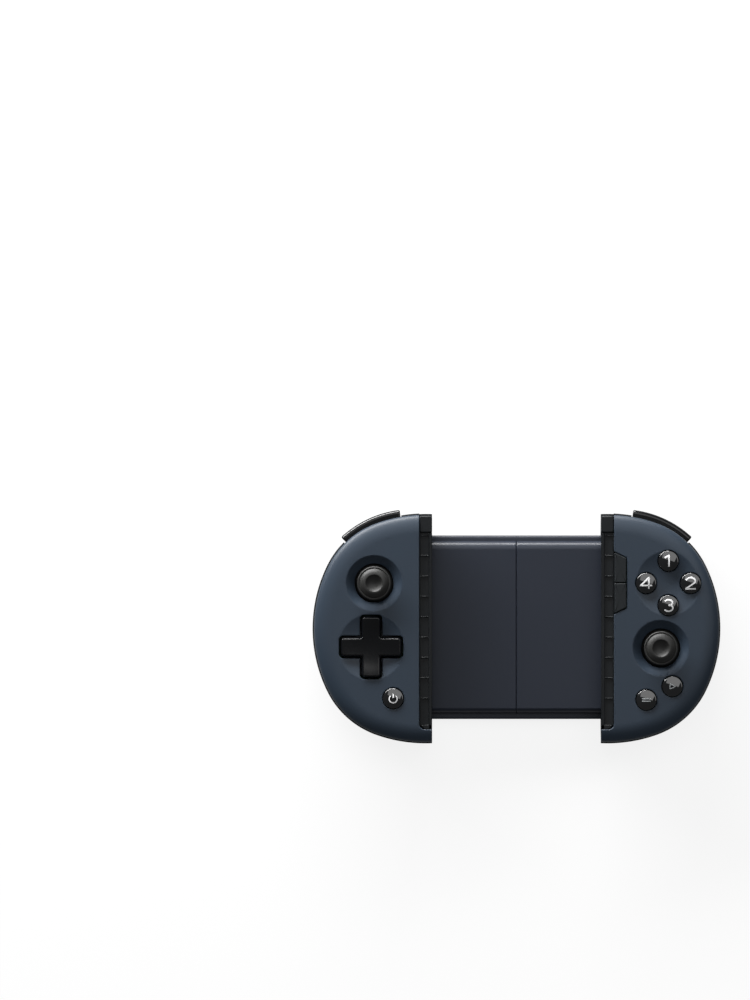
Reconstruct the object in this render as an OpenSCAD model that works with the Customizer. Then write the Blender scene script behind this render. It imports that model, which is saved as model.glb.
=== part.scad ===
// Stretch-type phone game controller: two D-shaped handles on a telescoping bridge.
// X runs across the controller, Y towards the shoulder keys, Z out of the front face.
// It lies on its back: z = 0 is the surface under the rear shells.

/* [Overall] */
// Width over both handles with the bridge closed
closed_w = 183.2; // [166:0.2:200]
// Width of a front shell, from the jaw's lip to the outer side
handle_w = 53.1; // [52.1:0.1:54.1]
// Height of a handle, from rim to rim
handle_h = 103.2; // [99:0.2:107]
// Height of the flat front face
face_z = 24; // [23:0.5:26]
// Height of the joint between front and rear shells
seam_z = 13; // [12.4:0.2:13.6]
// How far the rear rim stands proud of the front shell
rim_proud = 0.5; // [0.3:0.1:1]
// Wall of the moulded shells
wall = 2; // [1.6:0.1:2.2]

/* [Handle outline] */
// Radius of the outer side
side_r = 63.5; // [60:0.5:66]
// Radius of the flatter top and bottom
top_r = 65.93; // [62:0.1:70]
// Radius of the corners
corner_r = 38.4; // [37:0.2:40]
// Where the corner runs into the flatter top and bottom
corner_deg = 70.5; // [69:0.5:73]
// Width of the front edge's elliptical roll
face_roll = 8; // [6:0.5:9]
// Drop of that roll below the face
face_drop = 4.5; // [3.5:0.5:6]
// Roll of the rear edge
back_roll = 12; // [9:0.5:12]

/* [Bridge] */
// Underside of the bridge
bridge_z = 2.4; // [2.2:0.1:2.8]
// Thickness of the closed bridge
bridge_t = 7; // [6.8:0.1:7.2]
// Upper edge of the tray, in from the front shell's upper edge
tray_top = 8.4; // [8.1:0.1:10]
// Lower edge of the tray, in from the front shell's lower edge
tray_low = 10.6; // [10.5:0.1:12]
// Ledge of the tray beside the cover at the upper edge
ledge_top = 3.2; // [2:0.1:4]
// Ledge of the tray beside the cover at the lower edge
ledge_low = 1.9; // [1.5:0.1:3]
// Roll of the cover's long edges
cover_roll = 3; // [2:0.1:3.2]
// Wall of the tray and the cover
sleeve_wall = 1.3; // [1:0.1:1.4]
// Reach of the inner slide past the jaw's lip
slide_reach = 24; // [20:0.5:25]
// Sheet thickness of the inner slide
slide_wall = 0.7; // [0.5:0.1:0.8]
// Gap between the two sleeves at the seam
seam_gap = 0.2; // [0.1:0.1:0.8]

/* [Jaws] */
// Width of the jaw strip
jaw_w = 5.8; // [5.4:0.1:6.2]
// Upright wall of the jaw
jaw_wall = 2.1; // [1.8:0.1:2.4]
// Thickness of the lip
lip_t = 3; // [2.5:0.1:3.5]
// Drop of the lip below the front face
lip_drop = 1.4; // [1:0.1:2]
// Lower end of the jaw strip, in from the front shell's lower edge
jaw_low = 5.7; // [5.1:0.1:7]
// Height of the plain block at the strip's upper end
block_h = 7.7; // [6.7:0.1:7.7]
// Plain length of the lip below its last rib
rib_end = 10; // [6:0.5:12]
// Pitch of the ribs
rib_pitch = 9.15; // [8.5:0.05:9.3]
// Width of a rib
rib_w = 0.6; // [0.4:0.1:1]
// Depth of the trough between the ribs
rib_h = 0.6; // [0.4:0.1:0.8]
// Thickness of the rubber pad in the jaw
pad_t = 0.9; // [0.6:0.1:1.2]

/* [Thumbsticks] */
// Left stick, in from the front shell's outer side
left_stick_x = 27; // [26:0.1:28]
// Left stick, height above the middle
left_stick_y = 20.4; // [19.6:0.1:21]
// Right stick, in from the front shell's outer side
right_stick_x = 26.3; // [25.6:0.1:27]
// Right stick, height above the middle
right_stick_y = -8.8; // [-9.4:0.1:-8.4]
// Diameter of the bowl at the face
bowl_d = 25; // [24:0.2:26]
// Depth of the bowl
bowl_depth = 3.6; // [3.2:0.1:4]
// Diameter of the cap
cap_d = 15.4; // [14:0.2:16]
// Height of the cap's top above the face
cap_rise = 6; // [5.5:0.1:6.5]
// Thickness of the cap's disc
cap_t = 3.2; // [2.8:0.1:3.4]
// Radius of the dome under the cap
dome_r = 9.6; // [9.4:0.1:9.7]
// Diameter of the stick's shaft
shaft_d = 3; // [2.6:0.1:3.2]
// Tilt of the stick each way
stick_deg = 15; // [12:1:15]
// Width of the stick module
module_w = 11.4; // [11.2:0.1:11.6]

/* [Cross pad] */
// Centre of the cross pad, in from the front shell's outer side
cross_x = 25.7; // [25:0.1:26.6]
// Centre of the cross pad, height above the middle
cross_y = -8.3; // [-9:0.1:-7.8]
// Diameter of the dish round it
cross_dish_d = 29.6; // [29:0.2:30.4]
// Length over two arms
cross_len = 27.6; // [26:0.2:28]
// Width of an arm
arm_w = 8.8; // [8:0.2:9.2]
// Gap round the cross
cross_gap = 0.7; // [0.65:0.05:0.9]
// Rocking angle each way
cross_deg = 4; // [3:0.5:4]

/* [Buttons] */
// Diameter of a round button
button_d = 9.1; // [8.6:0.1:9.3]
// Gap round a button
button_gap = 0.35; // [0.25:0.05:0.5]
// Height of a button's edge above the face
button_rise = 0.4; // [0.2:0.1:0.8]
// Crown of a button
button_crown = 0.9; // [0.6:0.1:1.2]
// Travel of a button
button_travel = 1; // [0.6:0.1:1]
// Centre of the four face buttons, in from the front shell's outer side
face_x = 22.9; // [22.5:0.1:23.3]
// Centre of the four face buttons, height above the middle
face_y = 20.4; // [20:0.1:20.8]
// Distance of each from that centre
face_pitch = 10; // [9.6:0.1:10.4]
// Diameter of their dish
face_dish_d = 29; // [28:0.2:29.6]
// Depth of both shallow dishes
dish_depth = 0.9; // [0.6:0.1:1]
// Home button, in from the front shell's outer side
home_x = 35.6; // [34.2:0.1:36.6]
// Home button, height above the middle
home_y = -31.4; // [-32.4:0.1:-30.6]
// Upper menu button, in from the front shell's outer side
menu_upper_x = 21.1; // [20.7:0.1:21.7]
// Upper menu button, height above the middle
menu_upper_y = -26; // [-26.6:0.1:-25.6]
// Lower menu button, in from the front shell's outer side
menu_lower_x = 32.8; // [32.5:0.1:34]
// Lower menu button, height above the middle
menu_lower_y = -32.1; // [-33:0.1:-31.6]

/* [Side keys] */
// Width of the side keys
side_key_w = 5.8; // [5:0.1:6]
// Upper corner at the jaw
side_key_top = 34.4; // [34:0.1:35]
// Lower corner at the jaw
side_key_low = 6.6; // [6:0.1:7]
// Slope of the outer corners
side_key_slope = 2.8; // [2:0.1:3.4]
// Gap round the side keys
side_key_gap = 0.25; // [0.2:0.05:0.35]
// Travel of a side key
side_key_travel = 0.8; // [0.5:0.1:0.8]

/* [Shoulder keys] */
// Outer end of the shoulder opening, as an angle round the outline
key_from = 45; // [44:0.5:47]
// Distance of the shoulder opening's inner end from the jaw
key_jaw_gap = 8; // [8:0.1:9]
// How far the bumper stands proud
bumper_proud = 3.2; // [2.4:0.1:3.4]
// How far the trigger stands proud
trigger_proud = 2.7; // [2:0.1:3]
// Top of the bumper
bumper_z = 17.2; // [16.8:0.1:17.4]
// Height of the bumper
bumper_t = 5.4; // [4.8:0.1:5.4]
// Top of the trigger
trigger_z = 11.2; // [10.8:0.1:11.2]
// Height of the trigger
trigger_t = 8.2; // [7.4:0.1:8.2]

/* [Inside] */
// Top of the circuit boards
board_z = 11.6; // [11.4:0.1:11.8]
// Thickness of the circuit boards
board_t = 1; // [0.8:0.1:1.2]
// Diameter of the case screws
screw_d = 2; // [1.8:0.1:2.2]
// Running clearance of pins in their bores
run_gap = 0.06; // [0.03:0.01:0.09]
// Sliding clearance of the telescoping parts
slide_gap = 0.2; // [0.15:0.05:0.3]
// Outside diameter of a return spring
spring_d = 2.3; // [2:0.1:2.4]
// Wire of a return spring
wire_d = 0.5; // [0.4:0.05:0.6]
// Turns of a return spring
spring_turns = 12; // [8:1:16]

/* [Hidden] */
$fa = 4;
$fs = 0.4;

slate = "#39434f";
charcoal = "#23262a";
rubber_black = "#191a1b";
gloss_black = "#101114";
bridge_grey = "#2c3038";
steel = "#b9bdc2";
board_green = "#1f5a3c";
silicone = "#8a8f94";

big = 200;
nudge = 0.01;

// A point of the right handle, by its distance in from the outer side and its height above the middle.
shell_out = closed_w / 2 - rim_proud;
function from_side(x, y) = [shell_out - x, y];
left_stick_at = from_side(left_stick_x, left_stick_y);
right_stick_at = from_side(right_stick_x, right_stick_y);
cross_at = from_side(cross_x, cross_y);
face_at = from_side(face_x, face_y);
home_at = from_side(home_x, home_y);
menu_upper_at = from_side(menu_upper_x, menu_upper_y);
menu_lower_at = from_side(menu_lower_x, menu_lower_y);

// Upper half of the handle outline, as three tangent arcs.
function unit(a) = [cos(a), sin(a)];
function flip(p) = [p[0], -p[1]];
function steps(from, to, n) = [for (k = [1 : n]) from + (to - from) * k / n];
// The side arc ends where the corner arc has to start for the handle to reach its height.
lip_in = shell_out - handle_w;
jaw_out = lip_in + jaw_w;
rim_half = handle_h / 2;
shell_half = rim_half - rim_proud;
side_c = [shell_out - side_r, 0];
corner_rise = corner_r * sin(corner_deg) + top_r * (1 - sin(corner_deg));
side_deg = asin((shell_half - corner_rise) / (side_r - corner_r));
corner_c = side_c + (side_r - corner_r) * unit(side_deg);
top_c = corner_c - (top_r - corner_r) * unit(corner_deg);
end_deg = acos((lip_in - 2 - top_c[0]) / top_r);
rim_degs = concat(
    [0],
    steps(0, side_deg, 5),
    steps(side_deg, corner_deg, 9),
    steps(corner_deg, end_deg, 4)
);

// Point on the upper outline where it faces an angle, moved in by an inset.
function rim_point(a, inset) =
    a < side_deg ? side_c + (side_r - inset) * unit(a) :
    a < corner_deg ? corner_c + (corner_r - inset) * unit(a) :
    top_c + (top_r - inset) * unit(a);

// Arc of the shoulder keys: the circle through three points of the outline.
function circle_through(p, q, r) =
    let (
        u = q - p,
        v = r - p,
        d = 2 * (u[0] * v[1] - u[1] * v[0])
    )
    p + [v[1] * (u * u) - u[1] * (v * v), u[0] * (v * v) - v[0] * (u * u)] / d;
key_to = acos((jaw_out + key_jaw_gap - top_c[0]) / top_r);
key_outer = rim_point(key_from, 0);
key_inner = rim_point(key_to, 0);
key_c = circle_through(key_outer, rim_point((key_from + key_to) / 2, 0), key_inner);
key_r = norm(key_outer - key_c);
key_a0 = atan2(key_outer[1] - key_c[1], key_outer[0] - key_c[0]);
key_a1 = atan2(key_inner[1] - key_c[1], key_inner[0] - key_c[0]);
function key_point(a, inset) = key_c + (key_r - inset) * unit(a);

// The shoulder keys reach highest, so the whole is moved to centre it on y = 0.
trigger_play_deg = 0.9;
bumper_end_deg = 0.5;
key_reach = max(
    key_point(key_a1 - trigger_play_deg, -trigger_proud)[1],
    key_point(key_a1 - bumper_end_deg, -bumper_proud)[1]
);
centre_y = (rim_half - max(key_reach, rim_half)) / 2;

jaw_low_y = jaw_low - shell_half;
jaw_top_y = shell_half - 0.4;
block_low_y = jaw_top_y - block_h;
first_rib_y = block_low_y - 1.2;
rib_n = floor((first_rib_y - jaw_low_y - rib_end) / rib_pitch) + 1;
tray_top_y = shell_half - tray_top;
tray_low_y = tray_low - shell_half;
inside_x = jaw_out + wall - 0.2;
slide_half = lip_in + slide_reach;
lip_z = face_z - lip_drop;
bridge_top = bridge_z + bridge_t;
sleeve_end = jaw_out + 0.2;
cover_top = tray_top_y - ledge_top;
cover_low = tray_low_y + ledge_low;
cover_skirt_z = bridge_top - cover_roll - 0.2;
slide_z0 = bridge_z + sleeve_wall + slide_gap;
slide_z1 = bridge_top - sleeve_wall - slide_gap;
slide_top = cover_top - sleeve_wall - slide_gap;
slide_low = cover_low + sleeve_wall + slide_gap;
slide_mid_z = (slide_z0 + slide_z1) / 2;

stick_z = board_z + 3.6;
cap_z = face_z + cap_rise;
shaft_top = cap_z - cap_t + 0.4 - stick_z;
hole_z = face_z - bowl_depth - 0.8;
stick_lean = acos(pow(cos(stick_deg), 2));
stick_hole_r = sqrt(pow(dome_r + 0.25, 2) - pow(hole_z - stick_z, 2));
bowl_ball_z = face_z + (pow(bowl_d / 2, 2) - pow(stick_hole_r, 2) - pow(bowl_depth, 2)) / (2 * bowl_depth);
bowl_ball_r = sqrt(pow(bowl_d / 2, 2) + pow(bowl_ball_z - face_z, 2));
gimbal_pin_r = 0.7;
gimbal_w = 8.2;
gimbal_hole = 5.4;
gimbal_t = 2;
module_wall = 0.9;

under_z = face_z - wall;
flange_t = 1;
flange_w = 0.8;
flange_room = 0.4;
membrane_t = 0.6;
dome_h = 0.4;
dome_z = board_z + membrane_t + dome_h;
stem_gap = 0.3;
flange_z = under_z - stem_gap;

cross_pivot_z = face_z - 5.4;
cross_ball_r = 2;
cross_post_r = 2.6;
cross_flange_z = under_z - 1.6;
cross_lip = 1.4;
plunger_r = 10;

side_key_z0 = under_z - 4;
side_key_split = (side_key_top + side_key_low) / 2;

// Screw posts and board pegs, in handle coordinates.
POSTS = [
    from_side(7.1, 14),
    from_side(12.1, -25),
    [jaw_out + 3, shell_half - 6.1],
    [jaw_out + 3, 7.3 - shell_half]
];
PEGS = [from_side(7.1, -2), from_side(21.1, -36)];
post_r = 2.3;
peg_r = 1.5;
post_z = 7;
screw_seat_z = 4.6;
screw_head_r = 1.9;
screw_head_t = 1.4;
screw_tip_z = 14;

// Hinge line of the trigger: a chord across the corner.
trigger_axis_z = trigger_z - 1.6;
trigger_pin_r = 0.8;
hinge_inset = 2.4;
hinge_from = key_point(key_a0 - 2, hinge_inset);
hinge_to = key_point(key_a1 + 2, hinge_inset);
ear_deg = 3.8;
ear_gap_deg = 0.4;
key_depth = 8;
bumper_depth = 5;
trigger_depth = 6.8;
bumper_play_deg = 1.1;
bumper_pin_r = 1;
bumper_pin_top = under_z - 0.8;
switch_from = key_point(key_a1 - 2, key_depth + 2.5);
switch_to = key_point(key_a0 + 9, key_depth + 2.5);
switch_len = norm(switch_to - switch_from);
tab_w = 3.4;
tab_z = 3;
bumper_pin_at = key_point(key_a1 - 2.6, 2.8);
crown_r = 14;

spring_ys = [25, -23];
stub_r = spring_d / 2 - wire_d - 0.06;
stub_len = 3.8;
web_half = 1.5;
channel_half = 2.4;
anchor_x = slide_half + 2.2;
anchor_w = 2;
ribbon_w = 10;
ribbon_t = 0.25;
ribbon_x = slide_half + 1.4;

socket_x = jaw_out + 13.2;
socket_w = 8.94;
socket_h = 3.16;
socket_len = 7.4;
socket_wall = 0.3;
socket_z = board_z - board_t - socket_h / 2;
socket_mouth = 0.5;
socket_y = socket_mouth - top_c[1] - sqrt(pow(top_r, 2) - pow(socket_x - top_c[0], 2));

// Helpers

module on_side(side) translate([0, centre_y, 0]) mirror([side < 0 ? 1 : 0, 0, 0]) children();

module centred() translate([0, centre_y, 0]) children();

// Handle outline moved in by an inset.
module outline(inset) {
    upper = [for (a = rim_degs) rim_point(a, inset)];
    lower = [for (k = [len(upper) - 1 : -1 : 1]) flip(upper[k])];
    polygon(concat(lower, upper));
}

module slice(z, t, inset) translate([0, 0, z]) linear_extrude(t) outline(inset);

// Handle block with its front edge rolled on an ellipse.
module front_form(inset, z0, z1, roll, drop) hull() {
    n = 6;
    slice(z0, z1 - drop - z0, inset);
    for (a = steps(0, 90, n))
        slice(z1 - drop + drop * sin(a) - nudge, nudge, inset + roll * (1 - cos(a)));
}

// Handle block with its back edge rolled.
module back_form(inset, z0, z1, roll) hull() {
    n = 7;
    slice(z0 + roll, z1 - roll - z0, inset);
    for (a = steps(0, 90, n))
        slice(z0 + roll - roll * sin(a), nudge, inset + roll * (1 - cos(a)));
}

// Carries a profile along the arc of the shoulder keys; x = 0 of the profile lies on the arc.
module key_sweep(a0, a1)
    translate(key_c) rotate(a0) rotate_extrude(angle = a1 - a0) translate([key_r, 0]) children();

module band_profile(inset, depth, z0, z1) translate([-depth, z0]) square([depth - inset, z1 - z0]);

module rounded(w, h, r) {
    square([w - 2 * r, h], center = true);
    square([w, h - 2 * r], center = true);
    for (x = [-1, 1], y = [-1, 1])
        translate([x * (w / 2 - r), y * (h / 2 - r)]) circle(r);
}

module rounded_top(w, z0, z1, r) {
    translate([-w / 2, z0]) square([w, z1 - r - z0]);
    translate([-w / 2 + r, z0]) square([w - 2 * r, z1 - z0]);
    intersection() {
        for (x = [-1, 1]) translate([x * (w / 2 - r), z1 - r]) circle(r);
        translate([-w / 2, z0]) square([w, z1 - z0]);
    }
}

module stadium(w, h) rounded(w, h, h / 2 - nudge);

module block(x0, x1, y0, y1, z0, z1) translate([x0, y0, z0]) cube([x1 - x0, y1 - y0, z1 - z0]);

module rod(at, r, z0, z1) translate([at[0], at[1], z0]) cylinder(r = r, h = z1 - z0);

// A rod between two points at one height.
module level_rod(p, q, z, r) {
    d = q - p;
    translate([p[0], p[1], z]) rotate([0, 90, atan2(d[1], d[0])]) cylinder(r = r, h = norm(d));
}

// Frame of the switch board: x along it from its inner end, y towards the keys.
module on_switch_board() {
    d = switch_to - switch_from;
    translate(switch_from) rotate(atan2(d[1], d[0])) children();
}

// Shells

module posts(r, z0, z1) for (p = POSTS) rod(p, r, z0, z1);

module pegs(z0, z1) for (p = PEGS) rod(p, peg_r, z0, z1);

// Space that the jaw and the phone take, with a round inner corner at its lower end.
module jaw_space(z0, z1) {
    r = 2.5;
    translate([0, 0, z0]) linear_extrude(z1 - z0) {
        translate([0, jaw_low_y + r]) square([jaw_out, big]);
        translate([0, jaw_low_y]) square([jaw_out - r, big]);
        translate([jaw_out - r, jaw_low_y + r]) circle(r);
    }
}

module shallow_dish(at, d) {
    r = (pow(d / 2, 2) + pow(dish_depth, 2)) / (2 * dish_depth);
    translate([at[0], at[1], face_z - dish_depth + r]) sphere(r, $fn = 240);
}

module stick_bowl(at) {
    translate([at[0], at[1], bowl_ball_z]) sphere(bowl_ball_r);
    rod(at, stick_hole_r, hole_z - 1, face_z);
}

// Hole for a round button, with room under it for the button's flange to travel.
module button_hole(at) {
    low_z = flange_z - flange_t - button_travel - flange_room;
    rod(at, button_d / 2 + button_gap, under_z - 1, face_z + 1);
    rod(at, button_d / 2 + flange_w + flange_room, low_z, under_z);
}

module cross_plan(len, w, r) {
    rounded(len, w, r);
    rounded(w, len, r);
}

module shoulder_opening(z0, z1) key_sweep(key_a0, key_a1)
    band_profile(-bumper_proud - 1, key_depth, z0, z1);

// Front shell before its dishes and holes are cut.
module front_blank(stick_at) {
    difference() {
        intersection() {
            front_form(0, seam_z, face_z, face_roll, face_drop);
            block(lip_in, big, -big, big, 0, big);
        }
        difference() {
            intersection() {
                front_form(wall, seam_z - 1, under_z, face_roll - wall, face_drop - wall / 4);
                block(inside_x, big, -big, big, 0, big);
            }
            rod(stick_at, bowl_d / 2 + 1.2, hole_z, face_z);
            posts(post_r, 0, face_z);
            pegs(0, face_z);
        }
        jaw_space(0, big);
        shoulder_opening(seam_z - 1, bumper_z + 0.3);
    }
    rod(bumper_pin_at, bumper_pin_r, bumper_z - bumper_t, bumper_pin_top);
    posts(post_r, post_z, seam_z + 1);
    pegs(board_z, seam_z + 1);
}

module front_shell(stick_at) color(slate) difference() {
    front_blank(stick_at);
    stick_bowl(stick_at);
    posts(screw_d / 2 + run_gap, post_z - 1, screw_tip_z + 0.4);
    children();
}

module left_cuts() {
    shallow_dish(cross_at, cross_dish_d);
    translate([cross_at[0], cross_at[1], under_z - 1])
        linear_extrude(wall + 2)
            cross_plan(cross_len + 2 * cross_gap, arm_w + 2 * cross_gap, 2);
    translate([cross_at[0], cross_at[1], hole_z - 1])
        linear_extrude(under_z - hole_z + 1)
            cross_plan(cross_len + 2 * cross_lip + 2 * cross_gap, arm_w + 2 * cross_gap, 2);
    button_hole(home_at);
}

module right_cuts() {
    shallow_dish(face_at, face_dish_d);
    for (k = [0 : 3]) button_hole(face_at + face_pitch * unit(90 * k));
    button_hole(menu_upper_at);
    button_hole(menu_lower_at);
    translate([0, 0, side_key_z0 - side_key_travel - 0.6])
        linear_extrude(big)
            polygon([
                [jaw_out - 1, side_key_low - side_key_gap],
                [jaw_out, side_key_low - side_key_gap],
                [jaw_out + side_key_w, side_key_low + side_key_slope - side_key_gap],
                [jaw_out + side_key_w, side_key_top - side_key_slope + side_key_gap],
                [jaw_out, side_key_top + side_key_gap],
                [jaw_out - 1, side_key_top + side_key_gap]
            ]);
}

module trigger_ears(z0, z1) {
    key_sweep(key_a0 - ear_gap_deg - ear_deg, key_a0 - ear_gap_deg)
        band_profile(0, hinge_inset + 3, z0, z1);
    key_sweep(key_a1 + ear_gap_deg, key_a1 + ear_gap_deg + ear_deg)
        band_profile(0, hinge_inset + 3, z0, z1);
}

module spring_anchors() {
    for (y = spring_ys) {
        block(anchor_x, anchor_x + anchor_w, y - 2, y + 2, 0, slide_mid_z + 1.4);
        translate([anchor_x - stub_len, y, slide_mid_z])
            rotate([0, 90, 0]) cylinder(r = stub_r, h = stub_len + 1);
    }
}

module rear_blank() {
    shelf_z = slide_z1 + 2 * slide_gap;
    difference() {
        intersection() {
            back_form(-rim_proud, 0, seam_z, back_roll);
            block(lip_in, big, -big, big, -1, big);
        }
        difference() {
            intersection() {
                back_form(wall - rim_proud, wall, seam_z + 1, back_roll - wall);
                union() {
                    block(inside_x, big, -big, big, 0, big);
                    block(lip_in + wall, big, -big, big, 0, shelf_z);
                }
            }
            posts(post_r + 0.6, 0, post_z);
            pegs(0, board_z - board_t);
            spring_anchors();
            trigger_ears(trigger_axis_z - 1.6, seam_z);
            on_switch_board() block(-0.5, tab_w + 0.4, -0.8, 1.6, 0, tab_z);
        }
        jaw_space(bridge_top, big);
        shoulder_opening(bridge_z, seam_z + 1);
    }
}

module rear_shell() color(charcoal) difference() {
    rear_blank();
    block(0, sleeve_end + 0.3, tray_low_y, tray_top_y, bridge_z, bridge_top + 1);
    posts(screw_head_r + 0.2, -1, screw_seat_z);
    posts(screw_d / 2 + 0.2, 0, big);
    posts(post_r + 0.15, post_z, big);
    level_rod(hinge_from, hinge_to, trigger_axis_z, trigger_pin_r);
    children();
}

module socket_window() {
    translate([socket_x, socket_y + 6, socket_z])
        rotate([90, 0, 0]) linear_extrude(12) stadium(socket_w + 0.5, socket_h + 0.5);
}

module case_screws() color(steel) for (p = POSTS) {
    rod(p, screw_head_r, screw_seat_z - screw_head_t, screw_seat_z);
    rod(p, screw_d / 2, screw_seat_z - nudge, screw_tip_z);
}

// Jaws

module jaw() color(charcoal) {
    jaw_end = jaw_out - 0.1;
    y0 = jaw_low_y + 2.6;
    trough_in = lip_in + 1.6;
    trough_out = jaw_end - 0.5;
    difference() {
        union() {
            block(jaw_end - jaw_wall, jaw_end, y0, block_low_y, bridge_top, lip_z);
            block(lip_in, jaw_end, y0, block_low_y, lip_z - lip_t, lip_z);
            block(lip_in, jaw_end - 2.6, jaw_low_y + 0.1, y0, lip_z - lip_t, lip_z);
            jaw_foot(jaw_end);
            jaw_block(jaw_end);
        }
        block(trough_in, trough_out, jaw_low_y + 2.2, block_low_y, lip_z - rib_h, lip_z + 1);
    }
    for (k = [0 : rib_n - 1])
        block(
            trough_in - nudge, trough_out + nudge,
            first_rib_y - k * rib_pitch - rib_w / 2, first_rib_y - k * rib_pitch + rib_w / 2,
            lip_z - rib_h - nudge, lip_z - 0.1
        );
}

// Quarter-round lower end of the lip.
module jaw_foot(jaw_end) {
    r = 2.5;
    translate([0, 0, lip_z - lip_t]) linear_extrude(lip_t) intersection() {
        translate([jaw_end - r - 0.1, jaw_low_y + 0.1 + r]) circle(r);
        translate([jaw_end - 2.7, jaw_low_y]) square([2.7, 2.7]);
    }
}

// Plain block that closes the strip's upper end.
module jaw_block(jaw_end) {
    r = 1.2;
    translate([jaw_end, jaw_top_y - block_h / 2, 0]) rotate([90, 0, -90])
        linear_extrude(jaw_end - lip_in) rounded_top(block_h, bridge_top, lip_z + 0.3, r);
}

module jaw_pad() color(rubber_black) {
    back = jaw_out - 0.1 - jaw_wall;
    z0 = bridge_top + 0.3;
    z1 = lip_z - lip_t - 0.1;
    y0 = jaw_low_y + 3;
    y1 = block_low_y - 0.2;
    block(back - pad_t, back, y0, y1, z0, z1);
    for (k = [0 : rib_n - 1])
        translate([back - pad_t, first_rib_y - (k + 0.5) * rib_pitch, z0])
            cylinder(r = 0.5, h = z1 - z0);
}

// Bridge

module bridge_tray() color(bridge_grey) difference() {
    r = 1.6;
    mid = (tray_top_y + tray_low_y) / 2;
    translate([seam_gap / 2, mid, 0]) rotate([90, 0, 90]) linear_extrude(sleeve_end - seam_gap / 2)
        translate([0, (bridge_z + cover_skirt_z) / 2])
            rounded(tray_top_y - tray_low_y, cover_skirt_z - bridge_z, r);
    block(
        -1, big, slide_low - slide_gap, slide_top + slide_gap,
        bridge_z + sleeve_wall, big
    );
}

module bridge_cover() color(bridge_grey) difference() {
    mid = (cover_top + cover_low) / 2;
    translate([seam_gap / 2, mid, 0]) rotate([90, 0, 90]) linear_extrude(sleeve_end - seam_gap / 2)
        rounded_top(cover_top - cover_low, cover_skirt_z, bridge_top, cover_roll);
    block(
        -1, big, slide_low - slide_gap, slide_top + slide_gap,
        -1, bridge_top - sleeve_wall
    );
}

module slide_tray() color(bridge_grey) centred() {
    inner_z = slide_z0 + slide_wall;
    lid_z = slide_z1 - slide_wall;
    difference() {
        block(-slide_half, slide_half, slide_low, slide_top, slide_z0, lid_z);
        for (y = spring_ys) {
            block(-big, -web_half, y - channel_half, y + channel_half, inner_z, big);
            block(web_half, big, y - channel_half, y + channel_half, inner_z, big);
        }
        block(-big, -web_half, -ribbon_w, ribbon_w, inner_z, big);
        block(web_half, big, -ribbon_w, ribbon_w, inner_z, big);
    }
    for (y = spring_ys)
        translate([-web_half - stub_len, y, slide_mid_z])
            rotate([0, 90, 0]) cylinder(r = stub_r, h = 2 * (web_half + stub_len));
}

module slide_lid() color(bridge_grey) centred()
    block(-slide_half, slide_half, slide_low, slide_top, slide_z1 - slide_wall, slide_z1);

// A coiled wire along X as one tube: rings of points carried along a helix.
function helix_at(t, len, r) = [len * t, r * cos(360 * spring_turns * t), r * sin(360 * spring_turns * t)];
function helix_way(t, len, r) =
    let (a = 360 * spring_turns * t, w = 2 * PI * spring_turns * r)
    [len, -w * sin(a), w * cos(a)] / norm([len, w]);
function helix_out(t) = [0, cos(360 * spring_turns * t), sin(360 * spring_turns * t)];

module coil(len) {
    sides = 6;
    rings = 8 * spring_turns;
    r = spring_d / 2 - wire_d / 2;
    points = [
        for (i = [0 : rings])
            let (t = i / rings, u = helix_out(t), v = cross(helix_way(t, len, r), u))
            for (k = [0 : sides - 1])
                helix_at(t, len, r) + wire_d / 2 * (cos(360 * k / sides) * u + sin(360 * k / sides) * v)
    ];
    skin = [
        for (i = [0 : rings - 1], k = [0 : sides - 1])
            let (a = i * sides + k, b = i * sides + (k + 1) % sides)
            each [[a, a + sides, b], [b, a + sides, b + sides]]
    ];
    first = [for (k = [1 : sides - 2]) [0, k, k + 1]];
    last_ring = rings * sides;
    last = [for (k = [1 : sides - 2]) [last_ring, last_ring + k + 1, last_ring + k]];
    turn = rings / spring_turns;
    turn_gaps = [
        for (i = [0 : rings - turn])
            norm(helix_at((i + turn) / rings, len, r) - helix_at(i / rings, len, r)) - wire_d
    ];
    echo(least_gap_between_turns = min(turn_gaps));
    polyhedron(points, concat(skin, first, last));
}

module springs() color(steel) {
    x0 = web_half + 0.4;
    for (y = spring_ys)
        translate([x0, y, slide_mid_z]) coil(anchor_x - 0.4 - x0);
}

module ribbon() color("#b86a2a") {
    z0 = slide_z0 + slide_wall + 0.1;
    translate([0, ribbon_w / 2, 0]) rotate([90, 0, 0]) linear_extrude(ribbon_w)
        polygon([
            [web_half + 0.3, z0],
            [ribbon_x + ribbon_t, z0],
            [ribbon_x + ribbon_t, board_z - board_t - 0.05],
            [ribbon_x, board_z - board_t - 0.05],
            [ribbon_x, z0 + ribbon_t],
            [web_half + 0.3, z0 + ribbon_t]
        ]);
}

// Electronics

module board() color(board_green) difference() {
    z0 = board_z - board_t;
    intersection() {
        slice(z0, board_t, wall + 2);
        block(jaw_out + wall + 0.4, big, -big, big, 0, big);
    }
    posts(post_r + 0.5, 0, big);
    key_sweep(key_a0 - 6, key_a1 + 6) band_profile(-5, key_depth, 0, face_z);
    key_sweep(key_a0 + 8, key_a1 + 6) band_profile(-5, key_depth + 4.4, 0, face_z);
}

module battery() color("#3a4a66") on_side(-1) {
    len = 32;
    x0 = slide_half + 3;
    x1 = side_c[0] + sqrt(pow(side_r + rim_proud - back_roll, 2) - pow(len / 2, 2)) - 0.9;
    translate([(x0 + x1) / 2, 0, wall]) linear_extrude(board_z - board_t - wall - 1)
        rounded(x1 - x0, len, 2);
}

module membrane_dome(at) translate([at[0], at[1], board_z + membrane_t - nudge])
    cylinder(r1 = 2.8, r2 = 2.2, h = dome_h + nudge);

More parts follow.
